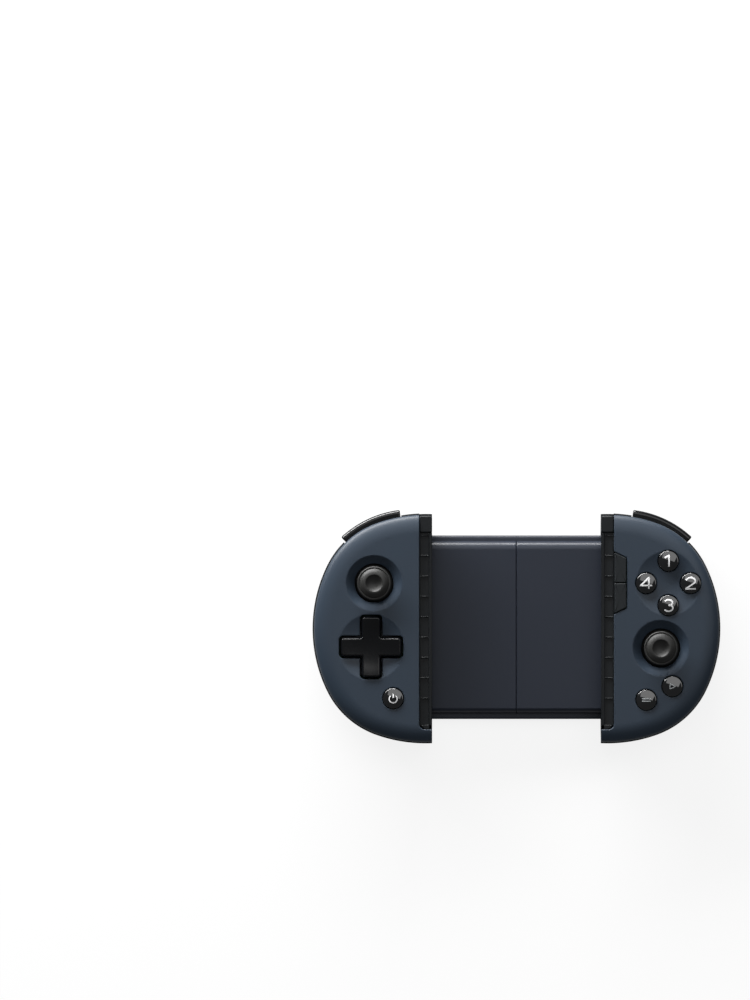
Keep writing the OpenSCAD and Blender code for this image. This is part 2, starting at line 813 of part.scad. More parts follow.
module cross_membrane() color(silicone) on_side(-1) difference() {
    union() {
        translate([0, 0, board_z]) linear_extrude(membrane_t) {
            translate(cross_at) circle(13.4);
            translate([home_at[0] + 2, (home_at[1] + cross_at[1]) / 2 - 2]) square([8, 26], center = true);
            translate(home_at) circle(5);
        }
        for (k = [0 : 3]) membrane_dome(cross_at + plunger_r * unit(90 * k));
        membrane_dome(home_at);
    }
    rod(cross_at, cross_post_r + 0.3, 0, big);
}

module face_membrane() color(silicone) on_side(1) {
    translate([face_at[0], face_at[1], board_z]) rotate(45) linear_extrude(membrane_t)
        rounded(1.42 * face_pitch + 8, 1.42 * face_pitch + 8, 4);
    for (k = [0 : 3]) membrane_dome(face_at + face_pitch * unit(90 * k));
}

module menu_membrane() color(silicone) on_side(1) {
    d = menu_upper_at - menu_lower_at;
    mid = (menu_upper_at + menu_lower_at) / 2;
    translate([mid[0], mid[1], board_z]) rotate(atan2(d[1], d[0])) linear_extrude(membrane_t)
        stadium(norm(d) + 8, 8);
    membrane_dome(menu_upper_at);
    membrane_dome(menu_lower_at);
}

module charge_socket() color(steel) on_side(1) {
    back = 0.4;
    translate([socket_x, socket_y, socket_z]) rotate([-90, 0, 0]) {
        linear_extrude(socket_len) difference() {
            stadium(socket_w, socket_h);
            stadium(socket_w - 2 * socket_wall, socket_h - 2 * socket_wall);
        }
        translate([0, 0, socket_len - back]) linear_extrude(back) stadium(socket_w, socket_h);
        translate([-3.3, -0.35, 1]) cube([6.6, 0.7, socket_len - 1]);
    }
}

// Upright board behind the shoulder keys, with one switch for each; its tab stands on the rear shell.
module switch_board() color(board_green) on_switch_board() {
    step_z = slide_z1 + 1;
    t = 0.8;
    translate([0, t, 0]) rotate([90, 0, 0]) linear_extrude(t)
        polygon([
            [0, tab_z], [tab_w, tab_z],
            [tab_w, step_z], [switch_len, step_z],
            [switch_len, face_z - 4.5], [0, face_z - 4.5]
        ]);
    block(switch_len - 4.5, switch_len - 1, t, t + 2.2, bumper_z - 4.6, bumper_z - 1.4);
    block(0.2, tab_w - 0.2, t, t + 1.1, 4.6, 8);
}

// Thumbsticks

module at_stick(at) translate([at[0], at[1], stick_z]) children();

module stick_module(at) color("#2a2a2c") at_stick(at) {
    bottom = board_z - stick_z;
    roof_z = 3.2;
    roof_t = 0.8;
    difference() {
        translate([0, 0, bottom]) linear_extrude(roof_z - bottom) rounded(module_w, module_w, 2.6);
        translate([0, 0, bottom + 0.6]) linear_extrude(roof_z - roof_t - bottom - 0.6)
            square(module_w - 2 * module_wall, center = true);
        cylinder(r = 4.2, h = big);
        rotate([90, 0, 0]) cylinder(r = gimbal_pin_r + run_gap, h = big, center = true);
    }
}

module stick_ring(at) color("#d8d4c8") at_stick(at) {
    pin_len = module_w - 0.4;
    difference() {
        union() {
            translate([0, 0, -gimbal_t / 2]) linear_extrude(gimbal_t) rounded(gimbal_w, gimbal_w, 1);
            rotate([90, 0, 0]) cylinder(r = gimbal_pin_r, h = pin_len, center = true);
        }
        cube([gimbal_hole, gimbal_hole, big], center = true);
        rotate([0, 90, 0]) cylinder(r = gimbal_pin_r + run_gap, h = big, center = true);
    }
}

module stick_shaft(at) color(steel) at_stick(at) {
    cube([4.2, 3.6, 3], center = true);
    rotate([0, 90, 0]) cylinder(r = gimbal_pin_r, h = gimbal_w - 0.4, center = true);
    cylinder(r = shaft_d / 2, h = shaft_top);
}

module stick_cap(at) color("#2d2d2e") at_stick(at) {
    top = cap_z - stick_z;
    low = top - cap_t;
    r = cap_d / 2;
    dome_edge = dome_r * cos(atan2(stick_hole_r, hole_z - stick_z) + stick_lean);
    difference() {
        union() {
            rotate_extrude() intersection() {
                union() {
                    translate([0, low]) square([r, cap_t - 1.5]);
                    translate([0, low]) square([r - 1.5, cap_t - 0.3]);
                    translate([r - 1.5, top - 1.8]) circle(1.5);
                    translate([0, low]) square([r - 2.1, cap_t]);
                    translate([0, low - 3]) square([3.8, 3]);
                }
                translate([0, -big]) square(2 * big);
            }
            rotate_extrude() difference() {
                intersection() {
                    circle(dome_r);
                    translate([0, dome_edge]) square(dome_r);
                }
                circle(dome_r - 1.2);
            }
        }
        translate([0, 0, top + 13.2 - 0.8]) sphere(13.2);
        cylinder(r = shaft_d / 2 + 0.03, h = shaft_top);
    }
}

// Cross pad

module cross_post() color("#c9c6bd") on_side(-1) difference() {
    rod(cross_at, cross_post_r, board_z, cross_pivot_z - 1);
    translate([cross_at[0], cross_at[1], cross_pivot_z]) sphere(cross_ball_r + run_gap);
}

module cross_ball() color(steel) on_side(-1)
    translate([cross_at[0], cross_at[1], cross_pivot_z]) sphere(cross_ball_r);

module cross_arm(turn) {
    top = face_z + 1.1;
    round_r = 0.9;
    rotate(turn) intersection() {
        rotate([90, 0, 0]) linear_extrude(arm_w, center = true)
            rounded_top(cross_len, cross_flange_z, top, round_r);
        rotate([90, 0, 90]) linear_extrude(cross_len, center = true)
            rounded_top(arm_w, cross_flange_z, top, round_r);
        linear_extrude(big) rounded(cross_len, arm_w, 1.6);
    }
}

module cross_pad() color(gloss_black) on_side(-1) translate([cross_at[0], cross_at[1], 0]) {
    crown = 130;
    difference() {
        union() {
            cross_arm(0);
            cross_arm(90);
            translate([0, 0, cross_flange_z - flange_t])
                linear_extrude(flange_t) cross_plan(cross_len + 2 * cross_lip, arm_w + 1, 1.6);
            translate([0, 0, cross_pivot_z + 0.3])
                cylinder(r = 3.2, h = cross_flange_z - cross_pivot_z);
            for (k = [0 : 3])
                rod(plunger_r * unit(90 * k), 1.5, dome_z + 1.1, cross_flange_z);
        }
        translate([0, 0, face_z + 0.5 + crown]) sphere(crown, $fn = 240);
        translate([0, 0, cross_pivot_z]) sphere(cross_ball_r + run_gap);
    }
}

// Buttons

// A round button: crowned top, retaining flange and stem.
module round_button(at) {
    r = button_d / 2;
    edge_z = face_z + button_rise;
    crown = (pow(r, 2) + pow(button_crown, 2)) / (2 * button_crown);
    translate([at[0], at[1], 0]) {
        intersection() {
            translate([0, 0, under_z - 1]) cylinder(r = r, h = big);
            translate([0, 0, edge_z + button_crown - crown]) sphere(crown, $fn = 240);
        }
        rod([0, 0], r + flange_w, flange_z - flange_t, flange_z);
        rod([0, 0], 2.6, dome_z + button_travel + stem_gap, under_z - 1);
    }
}

module home_button() color(gloss_black) on_side(-1) round_button(home_at);
module east_button() color(gloss_black) on_side(1) round_button(face_at + face_pitch * unit(0));
module north_button() color(gloss_black) on_side(1) round_button(face_at + face_pitch * unit(90));
module west_button() color(gloss_black) on_side(1) round_button(face_at + face_pitch * unit(180));
module south_button() color(gloss_black) on_side(1) round_button(face_at + face_pitch * unit(270));
module upper_menu_button() color(gloss_black) on_side(1) round_button(menu_upper_at);
module lower_menu_button() color(gloss_black) on_side(1) round_button(menu_lower_at);

// One trapezoid side key; the two are mirror images about the split between them.
module side_key(way) {
    x0 = jaw_out + 0.15;
    x1 = jaw_out + side_key_w - side_key_gap;
    half = (side_key_top - side_key_low) / 2;
    gap = side_key_gap / 2;
    stem_r = 1.6;
    translate([0, side_key_split, 0]) mirror([0, way < 0 ? 1 : 0, 0]) {
        translate([0, 0, side_key_z0]) linear_extrude(face_z + 0.3 - side_key_z0)
            polygon([
                [x0, gap], [x1, gap],
                [x1, half - side_key_slope], [x0, half - 0.1]
            ]);
        block(x1 - 1, x1 + 1.2, 1, half - side_key_slope - 1, flange_z - flange_t, flange_z);
        translate([inside_x + stem_r + 0.4, half / 2 - 0.6, dome_z + side_key_travel + 1])
            cylinder(r = stem_r, h = side_key_z0 - dome_z - side_key_travel);
    }
}

module upper_side_key() color(charcoal) on_side(1) side_key(1);
module lower_side_key() color(charcoal) on_side(1) side_key(-1);

// Shoulder keys

module bumper() color(gloss_black) difference() {
    h = bumper_t;
    w = bumper_depth + bumper_proud;
    key_sweep(key_a0 + bumper_play_deg, key_a1 - bumper_end_deg)
        translate([bumper_proud - w / 2, bumper_z - h / 2]) rounded(w, h, 0.9);
    rod(bumper_pin_at, bumper_pin_r + run_gap, 0, big);
}

module trigger() color(gloss_black) difference() {
    h = trigger_t;
    w = trigger_depth + trigger_proud;
    key_sweep(key_a0 + trigger_play_deg, key_a1 - trigger_play_deg) intersection() {
        translate([trigger_proud - w / 2, trigger_z - h / 2]) rounded(w, h, 0.9);
        translate([trigger_proud - crown_r, trigger_z - 0.4 * h]) circle(crown_r);
    }
    level_rod(hinge_from, hinge_to, trigger_axis_z, trigger_pin_r + run_gap);
}

module trigger_pin() color(steel) level_rod(hinge_from, hinge_to, trigger_axis_z, trigger_pin_r);

// Nodes

slide_tray();
slide_lid();
on_side(-1) springs();  // left_springs
on_side(1) springs();  // right_springs

on_side(-1) front_shell(left_stick_at) left_cuts();  // left_front_shell
on_side(-1) rear_shell();  // left_rear_shell
on_side(-1) jaw();  // left_jaw
on_side(-1) jaw_pad();  // left_jaw_pad
on_side(-1) bridge_cover();  // left_bridge_cover
on_side(-1) bridge_tray();  // left_bridge_tray
on_side(-1) board();  // left_board
battery();
cross_membrane();
on_side(-1) stick_module(left_stick_at);  // left_stick_module
cross_post();
on_side(-1) case_screws();  // left_screws
on_side(-1) trigger_pin();  // left_trigger_pin
on_side(-1) switch_board();  // left_switch_board
on_side(-1) ribbon();  // left_ribbon
on_side(-1) stick_ring(left_stick_at);  // left_stick_ring
on_side(-1) stick_shaft(left_stick_at);  // left_stick_shaft
on_side(-1) stick_cap(left_stick_at);  // left_stick_cap
cross_ball();
cross_pad();
home_button();
on_side(-1) bumper();  // left_bumper
on_side(-1) trigger();  // left_trigger

on_side(1) front_shell(right_stick_at) right_cuts();  // right_front_shell
on_side(1) rear_shell() socket_window();  // right_rear_shell
on_side(1) jaw();  // right_jaw
on_side(1) jaw_pad();  // right_jaw_pad
on_side(1) bridge_cover();  // right_bridge_cover
on_side(1) bridge_tray();  // right_bridge_tray
on_side(1) board();  // right_board
charge_socket();
face_membrane();
menu_membrane();
on_side(1) stick_module(right_stick_at);  // right_stick_module
on_side(1) case_screws();  // right_screws
on_side(1) trigger_pin();  // right_trigger_pin
on_side(1) switch_board();  // right_switch_board
on_side(1) ribbon();  // right_ribbon
on_side(1) stick_ring(right_stick_at);  // right_stick_ring
on_side(1) stick_shaft(right_stick_at);  // right_stick_shaft
on_side(1) stick_cap(right_stick_at);  // right_stick_cap
north_button();
east_button();
south_button();
west_button();
upper_menu_button();
lower_menu_button();
upper_side_key();
lower_side_key();
on_side(1) bumper();  // right_bumper
on_side(1) trigger();  // right_trigger
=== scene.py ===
"""Looks of a stretching phone game controller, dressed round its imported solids.

Lengths are millimetres until a piece is made; meshes are metres in the frame of the solids: X along
the stretch, Y towards the shoulder keys, Z out of the front face. A handle is worked out once, as the
right one, and mirrored for the left.
"""

from __future__ import annotations

import logging
import math
from dataclasses import dataclass, field
from enum import Enum
from typing import Callable, Sequence

import bpy
import numpy as np
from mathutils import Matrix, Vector

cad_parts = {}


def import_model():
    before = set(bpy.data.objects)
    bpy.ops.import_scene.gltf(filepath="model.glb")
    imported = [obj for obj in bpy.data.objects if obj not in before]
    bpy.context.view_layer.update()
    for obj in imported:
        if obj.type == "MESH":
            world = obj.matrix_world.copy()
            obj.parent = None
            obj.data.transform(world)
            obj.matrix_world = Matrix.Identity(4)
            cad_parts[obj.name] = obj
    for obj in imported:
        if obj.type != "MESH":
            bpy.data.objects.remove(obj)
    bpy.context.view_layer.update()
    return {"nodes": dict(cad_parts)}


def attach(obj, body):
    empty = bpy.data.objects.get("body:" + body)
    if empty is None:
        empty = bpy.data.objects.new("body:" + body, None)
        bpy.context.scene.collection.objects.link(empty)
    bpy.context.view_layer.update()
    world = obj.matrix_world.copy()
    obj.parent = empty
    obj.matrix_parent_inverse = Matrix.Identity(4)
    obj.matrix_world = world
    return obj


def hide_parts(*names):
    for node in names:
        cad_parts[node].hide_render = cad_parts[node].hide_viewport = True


LOG = logging.getLogger("controller")
MM = 0.001
# Y of the handles' middle line in the frame of the solids.
CENTRE_Y = -0.864952
# Height of the handles' flat face.
FACE_Z = 24.0
# A signed distance that stands for no hole near a point.
FAR = 1e3
# How far an edge strip lies over the skin that it laps.
HAIR = 0.004

Array = np.ndarray
Part = tuple[Array, Array]
Spot = tuple[float, float]


class Side(Enum):
    """The two handles; the value is the sign of their X."""

    LEFT = -1
    RIGHT = 1

    @property
    def body(self) -> str:
        """Name of the body that this handle's fixed pieces ride on."""
        return f"{self.name.lower()}_half"

    def node(self, piece: str) -> str:
        """Name of one of this handle's solids."""
        return f"{self.name.lower()}_{piece}"


# Places of the controls on a handle, and the radius of the holes that the round buttons sit in.
STICK_AT = {Side.LEFT: (64.1, 20.4), Side.RIGHT: (64.8, -8.8)}
CROSS_AT = (65.4, -8.3)
HOME_AT = (55.5, -31.4)
FACE_AT = (68.2, 20.4)
FACE_STEP = 10.0
FACE_WAYS = {
    "east_button": (1, 0),
    "north_button": (0, 1),
    "west_button": (-1, 0),
    "south_button": (0, -1),
}
UPPER_MENU_AT = (70.0, -26.0)
LOWER_MENU_AT = (58.3, -32.1)
BUTTON_HOLE_R = 4.9


def face_spot(node: str) -> Spot:
    """Place of one of the four face buttons: a step from their middle."""
    u, v = FACE_WAYS[node]
    return FACE_AT[0] + FACE_STEP * u, FACE_AT[1] + FACE_STEP * v


# Mesh helpers


def grid_part(points: Array, close_u: bool = False, close_v: bool = False, flip: bool = False) -> Part:
    """Triangles over a grid of points.

    Args:
        points: Grid of shape (n, m, 3).
        close_u: Joins the last row to the first.
        close_v: Joins the last column to the first.
        flip: Turns the faces over.

    Returns:
        The points as a list, and the triangles between them.
    """
    n, m = points.shape[:2]
    index = np.arange(n * m).reshape(n, m)
    if close_u:
        index = np.concatenate([index, index[:1]], axis=0)
    if close_v:
        index = np.concatenate([index, index[:, :1]], axis=1)
    a, b, c, d = index[:-1, :-1], index[1:, :-1], index[1:, 1:], index[:-1, 1:]
    halves = [np.stack(corners, -1).reshape(-1, 3) for corners in ((a, b, c), (a, c, d))]
    triangles = np.concatenate(halves)
    return points.reshape(-1, 3), triangles[:, ::-1] if flip else triangles


def trimmed_grid(points: Array, gap: Array, flip: bool = False) -> Part:
    """Grid surface with holes where a signed distance is negative.

    A point beside a hole slides along its grid edge to where the distance is zero, so each hole has a
    clean rim, and a cell that the rim crosses is split along it.

    Args:
        points: Grid of shape (n, m, 3).
        gap: Signed distance at each point, negative inside a hole.
        flip: Turns the faces over.

    Returns:
        The points that are left and the triangles between them.
    """
    best = np.full(gap.shape, 0.5)
    moved = points.copy()
    for axis, step in ((0, 1), (0, -1), (1, 1), (1, -1)):
        other = np.roll(gap, -step, axis)
        toward = np.roll(points, -step, axis)
        crossing = gap * other < 0
        edge = [slice(None), slice(None)]
        edge[axis] = -1 if step > 0 else 0
        crossing[tuple(edge)] = False
        share = np.where(crossing, gap / np.where(crossing, gap - other, 1), 1)
        nearer = crossing & (share <= best)
        best = np.where(nearer, share, best)
        moved = np.where(nearer[..., None], points + share[..., None] * (toward - points), moved)
    on_rim = best < 0.5
    state = np.where(on_rim, 0, np.sign(gap)).ravel()
    index = np.arange(gap.size).reshape(gap.shape)
    a, b, c, d = (k.ravel() for k in (index[:-1, :-1], index[1:, :-1], index[1:, 1:], index[:-1, 1:]))
    across = ((state[b] == 0) & (state[d] == 0))[:, None]
    first = np.where(across, np.stack([a, b, d], -1), np.stack([a, b, c], -1))
    second = np.where(across, np.stack([b, c, d], -1), np.stack([a, c, d], -1))
    triangles = np.concatenate([first, second])
    worst = state[triangles].min(1)
    mean_gap = gap.ravel()[triangles].sum(1)
    all_rim = (state[triangles] == 0).all(1)
    triangles = triangles[(worst >= 0) & (~all_rim | (mean_gap > 0))]
    used, triangles = np.unique(triangles, return_inverse=True)
    triangles = triangles.reshape(-1, 3)
    return moved.reshape(-1, 3)[used], triangles[:, ::-1] if flip else triangles


def lathe(profile: Array, centre: Spot, steps: int = 96) -> Part:
    """Revolves a profile round an upright axis.

    Args:
        profile: Points (radius, height), from the lower outside to the top at the axis.
        centre: Where the axis stands.
        steps: Points round the axis.

    Returns:
        The turned surface.
    """
    turn = np.linspace(0, 2 * np.pi, steps, endpoint=False)[:, None]
    radius, height = profile[None, :, 0], profile[None, :, 1] + 0 * turn
    x, y = centre[0] + radius * np.cos(turn), centre[1] + radius * np.sin(turn)
    return grid_part(np.stack([x, y, height], -1), True)


def rounded_path(
    corners: Sequence[Spot], radii: Sequence[float], closed: bool, step: float = 0.4, arc_steps: int = 13
) -> tuple[Array, Array]:
    """A polyline with each corner turned on an arc, in even steps.

    At a corner the heading goes from one side's to the next, and a point of the arc lies one radius to
    the right of its heading on a left turn and to the left of it on a right turn.

    Args:
        corners: Corners in order; counter-clockwise if closed.
        radii: Radius at each corner.
        closed: Whether the last corner joins the first.
        step: Spacing of the points.
        arc_steps: Points on each arc before they are spaced out evenly.

    Returns:
        The points, and the unit normals to the right of the heading.
    """
    p = np.array(corners, float)
    before, after = p - np.roll(p, 1, 0), np.roll(p, -1, 0) - p
    if not closed:
        before[0], after[-1] = after[0], before[-1]
    heading = np.arctan2(before[:, 1], before[:, 0])
    turn = np.angle(np.exp(1j * (np.arctan2(after[:, 1], after[:, 0]) - heading)))
    way = np.where(turn < 0, -1.0, 1.0)
    r = np.array(radii, float)
    cut = r * np.tan(np.abs(turn) / 2)
    ahead = np.stack([np.cos(heading), np.sin(heading)], -1)
    left = np.stack([-ahead[:, 1], ahead[:, 0]], -1)
    centre = p - ahead * cut[:, None] + left * (way * r)[:, None]
    angle = heading[:, None] + turn[:, None] * np.linspace(0, 1, arc_steps)
    normal = np.stack([np.sin(angle), -np.cos(angle)], -1)
    points = (centre[:, None] + normal * (way * r)[:, None, None]).reshape(-1, 2)
    normal = normal.reshape(-1, 2)
    if closed:
        points, normal = np.concatenate([points, points[:1]]), np.concatenate([normal, normal[:1]])
    along = np.concatenate([[0], np.cumsum(np.linalg.norm(np.diff(points, axis=0), axis=1) + 1e-9)])
    even = np.linspace(0, along[-1], max(int(along[-1] / step), 8) + 1)
    even = even[:-1] if closed else even
    points = np.stack([np.interp(even, along, points[:, k]) for k in (0, 1)], -1)
    normal = np.stack([np.interp(even, along, normal[:, k]) for k in (0, 1)], -1)
    return points, normal / np.linalg.norm(normal, axis=1, keepdims=True)


def rectangle(x0: float, x1: float, y0: float, y1: float) -> list[Spot]:
    """Corners of a rectangle, counter-clockwise."""
    return [(x0, y0), (x1, y0), (x1, y1), (x0, y1)]


def fillet_steps(radius: float, n: int = 6) -> Array:
    """Quarter circle as (distance in from the side, distance down from the top), side first."""
    a = np.linspace(0, np.pi / 2, n)
    return np.stack([radius * (1 - np.cos(a)), radius * (1 - np.sin(a))], -1)


def slab(corners: Sequence[Spot], corner_r: float, z0: float, z1: float, fillet: float) -> list[Part]:
    """A convex plate with rounded corners and a filleted top edge.

    Args:
        corners: Plan, counter-clockwise.
        corner_r: Radius of the plan's corners.
        z0: Underside.
        z1: Top.
        fillet: Radius of the top edge.

    Returns:
        The wall with its fillet, and the top.
    """
    points, normal = rounded_path(corners, [corner_r] * len(corners), True)
    past_fillet = fillet + 0.08
    rows = np.concatenate([[[0, z1 - z0]], fillet_steps(fillet), [[past_fillet, 0]]])
    plan = points[:, None] - normal[:, None] * rows[None, :, :1]
    height = np.broadcast_to(z1 - rows[:, 1], plan.shape[:2])
    wall = np.concatenate([plan, height[..., None]], -1)
    middle = np.broadcast_to(wall[:, -1].mean(0), wall[:, -1].shape)
    return [grid_part(wall, True), grid_part(np.stack([wall[:, -1], middle], 1), True)]


def bar_along_x(profile: Array, x0: float, x1: float, round_x0: float) -> list[Part]:
    """Carries an open (y, z) profile along X, its edge at x0 rounded over.

    Args:
        profile: Points (y, z), going from +Y to -Y over the top.
        x0: Rounded end.
        x1: Plain end.
        round_x0: Radius at the rounded end.

    Returns:
        The carried surface.
    """
    way = np.gradient(profile, axis=0)
    normal = np.stack([way[:, 1], -way[:, 0]], -1)
    normal /= np.linalg.norm(normal, axis=1, keepdims=True)
    past_round = round_x0 + 0.1
    rows = np.concatenate([fillet_steps(round_x0), [[past_round, 0]]])
    x = np.append(x0 + rows[:, 0], x1)
    section = profile[None] - normal[None] * np.append(rows[:, 1], 0)[:, None, None]
    along = np.broadcast_to(x[:, None, None], section.shape[:2] + (1,))
    return [grid_part(np.concatenate([along, section], -1))]


def stroke_strip(path: Array, width: float) -> Array:
    """Flat stroke along a path, five points across.

    Args:
        path: Points (n, 2).
        width: Width of the stroke.

    Returns:
        Grid of plan points (n, 5, 2).
    """
    way = np.gradient(path, axis=0)
    side = np.stack([-way[:, 1], way[:, 0]], -1) / np.linalg.norm(way, axis=1, keepdims=True)
    share = np.linspace(1, -1, 5)
    return path[:, None] + side[:, None] * share[None, :, None] * width / 2


def smooth_min(a: Array, b: Array, blend: float) -> Array:
    """The lesser of two heights, with a parabola across the turn where they are within the blend."""
    near = np.maximum(blend - np.abs(a - b), 0) / blend
    return np.minimum(a, b) - near**2 * blend / 4


def mirrored(parts: Sequence[Part], side: Side) -> list[Part]:
    """Moves parts from handle coordinates to the frame of the solids.

    Args:
        parts: Parts of a right handle.
        side: The handle they go on.

    Returns:
        The parts in place, faces still outwards.
    """
    scale = np.array([side.value, 1, 1])
    shift = np.array([0, CENTRE_Y, 0])
    return [(p * scale + shift, t if side is Side.RIGHT else t[:, ::-1]) for p, t in parts]


def make_piece(
    name: str,
    parts: Sequence[Part],
    body: str,
    material: bpy.types.Material,
    crease: float = 40,
) -> bpy.types.Object:
    """Makes one mesh object at the origin, shaded smooth but for sharp creases, and rides it on a body.

    Args:
        name: Name of the piece.
        parts: Parts in the frame of the solids, in millimetres.
        body: Body that carries the piece.
        material: Finish.
        crease: Angle in degrees above which an edge stays sharp.

    Returns:
        The object.
    """
    starts = np.cumsum([0] + [len(p) for p, _ in parts])
    points = np.concatenate([p for p, _ in parts]) * MM
    triangles = np.concatenate([t + s for (_, t), s in zip(parts, starts)])
    mesh = bpy.data.meshes.new(name)
    mesh.vertices.add(len(points))
    mesh.vertices.foreach_set("co", points.astype(np.float32).ravel())
    mesh.loops.add(triangles.size)
    mesh.loops.foreach_set("vertex_index", triangles.astype(np.int32).ravel())
    mesh.polygons.add(len(triangles))
    mesh.polygons.foreach_set("loop_start", np.arange(0, triangles.size, 3, dtype=np.int32))
    mesh.update(calc_edges=True)
    mesh.validate()
    mesh.shade_smooth()
    mesh.set_sharp_from_angle(angle=math.radians(crease))
    mesh.materials.append(material)
    piece = bpy.data.objects.new(name, mesh)
    bpy.context.scene.collection.objects.link(piece)
    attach(piece, body)
    LOG.info("%s: %d triangles", name, len(triangles))
    return piece


# Finishes


def linear(code: str) -> tuple[float, float, float, float]:
    """Turns an sRGB hex colour to linear light.

    Args:
        code: Six hex digits after a hash.

    Returns:
        Red, green, blue and alpha.
    """
    c = np.array([int(code[k : k + 2], 16) for k in (1, 3, 5)]) / 255
    light = np.where(c <= 0.04045, c / 12.92, ((c + 0.055) / 1.055) ** 2.4)
    return (*light.tolist(), 1.0)


def add_node(
    tree: bpy.types.NodeTree, kind: str, settings: dict | None = None, links: dict | None = None
) -> bpy.types.Node:
    """Adds a node with its settings and the links into it.

    Args:
        tree: Node tree.
        kind: Node type.
        settings: Attribute values, or input values under an input's name or number.
        links: Sockets to link, under the name or number of the input.

    Returns:
        The node.
    """
    node = tree.nodes.new(kind)
    for key, value in (settings or {}).items():
        if isinstance(key, str) and hasattr(node, key):
            setattr(node, key, value)
        else:
            node.inputs[key].default_value = value
    for key, socket in (links or {}).items():
        tree.links.new(socket, node.inputs[key])
    return node


def new_material(name: str) -> tuple[bpy.types.Material, bpy.types.NodeTree]:
    """An empty node material, and its tree."""
    material = bpy.data.materials.new(name)
    material.use_nodes = True
    material.node_tree.nodes.clear()
    return material, material.node_tree


@dataclass(frozen=True)
class Moulded:
    """A moulded plastic or rubber: its colour, its gloss, and the grain that the mould left on it.

    The eye sees a slow mottle between two near colours, a roughness that wanders a little, and a fine
    grain.
    """

    name: str
    colour: str
    mottle: str
    rough: float
    rough_swing: float
    grain_mm: float
    grain_depth_mm: float
    mottle_mm: float = 14.0
    ior: float = 1.5
    coat: float = 0.0
    coat_rough: float = 0.05
    sheen: float = 0.0
    specular: float = 0.5

    def build(self) -> bpy.types.Material:
        """Makes the material.

        Returns:
            The node material.
        """
        material, tree = new_material(self.name)
        place = add_node(tree, "ShaderNodeTexCoord").outputs["Object"]
        noises = [
            {"Scale": 1 / (self.mottle_mm * MM), "Detail": 3.0},
            {"Scale": 1 / (self.grain_mm * MM), "Detail": 2.0},
        ]
        slow, fine = (add_node(tree, "ShaderNodeTexNoise", n, {"Vector": place}) for n in noises)
        tone = add_node(
            tree,
            "ShaderNodeMix",
            {"data_type": "RGBA", 6: linear(self.colour), 7: linear(self.mottle)},
            {0: slow.outputs[0]},
        )
        rough_ends = {"To Min": self.rough - self.rough_swing, "To Max": self.rough + self.rough_swing}
        rough = add_node(
            tree,
            "ShaderNodeMapRange",
            {"From Min": 0.3, "From Max": 0.7, **rough_ends},
            {"Value": slow.outputs[0]},
        )
        depth = {"Strength": 1.0, "Distance": self.grain_depth_mm * MM}
        grain = add_node(tree, "ShaderNodeBump", depth, {"Height": fine.outputs[0]})
        shader = add_node(
            tree,
            "ShaderNodeBsdfPrincipled",
            {
                "IOR": self.ior,
                "Specular IOR Level": self.specular,
                "Coat Weight": self.coat,
                "Coat Roughness": self.coat_rough,
                "Sheen Weight": self.sheen,
            },
            {"Base Color": tone.outputs[2], "Roughness": rough.outputs[0], "Normal": grain.outputs[0]},
        )
        add_node(tree, "ShaderNodeOutputMaterial", None, {"Surface": shader.outputs[0]})
        return material


@dataclass(frozen=True)
class DrawnSteel:
    """Drawn or turned steel: fine lines along one axis, which stretch the highlights across them."""

    name: str
    colour: str
    rough: float
    line_mm: float
    axis: int
    line_stretch: float = 50.0
    rough_swing: float = 0.08

    def build(self) -> bpy.types.Material:
        """Makes the material.

        Returns:
            The node material.
        """
        material, tree = new_material(self.name)
        place = add_node(tree, "ShaderNodeTexCoord").outputs["Object"]
        stretch = [1.0, 1.0, 1.0]
        stretch[self.axis] = 1 / self.line_stretch
        lines = add_node(tree, "ShaderNodeMapping", {"Scale": stretch}, {"Vector": place})
        scale = {"Scale": 1 / (self.line_mm * MM)}
        noise = add_node(tree, "ShaderNodeTexNoise", scale, {"Vector": lines.outputs[0]})
        rough = add_node(
            tree,
            "ShaderNodeMapRange",
            {"To Min": self.rough - self.rough_swing, "To Max": self.rough + self.rough_swing},
            {"Value": noise.outputs[0]},
        )
        shader = add_node(
            tree,
            "ShaderNodeBsdfPrincipled",
            {"Base Color": linear(self.colour), "Metallic": 1.0},
            {"Roughness": rough.outputs[0]},
        )
        add_node(tree, "ShaderNodeOutputMaterial", None, {"Surface": shader.outputs[0]})
        return material


# Soft-touch lacquer over ABS: a dry slate skin that spreads its highlights wide.
SLATE = Moulded("soft_touch_slate_lacquer", "#283645", "#253240", 0.46, 0.03, 0.35, 0.006, sheen=0.1)
# Spark-eroded ABS: a darker, slightly coarser shell for the back and the side keys.
CHARCOAL = Moulded("textured_charcoal_abs", "#1e2225", "#1b1f22", 0.55, 0.04, 0.5, 0.012, specular=0.3)
# The jaws' ribbed strips: the same ABS with a little more shine from handling.
JAW = Moulded("ribbed_charcoal_abs", "#171a1d", "#15181a", 0.42, 0.05, 0.4, 0.008, specular=0.3)
# Satin painted cover of the bridge: a smooth blue-grey that takes a soft streak of light.
SLEEVE = Moulded("satin_grey_sleeve", "#292e39", "#262b36", 0.37, 0.03, 0.3, 0.004, specular=0.38)
# The bridge's trays and inner slide: a like paint, a touch duller, and a touch lighter as painted fill
# light that lifts the ledges out of the cover's shadow.
TRAY = Moulded("satin_tray_painted_fill", "#31353e", "#2e323b", 0.4, 0.03, 0.3, 0.004, specular=0.3)
# Polished and lacquered ABS of the round buttons: deep black with crisp reflections.
GLOSS = Moulded(
    "polished_black_abs", "#0d0e10", "#0b0c0e", 0.08, 0.02, 2.5, 0.001, ior=1.8, coat=1.0, coat_rough=0.03
)
# Satin ABS of the cross pad and the shoulder keys: black, with an edge that catches light.
CROSS = Moulded("satin_black_abs", "#0d0e10", "#0b0c0e", 0.15, 0.03, 0.4, 0.003)
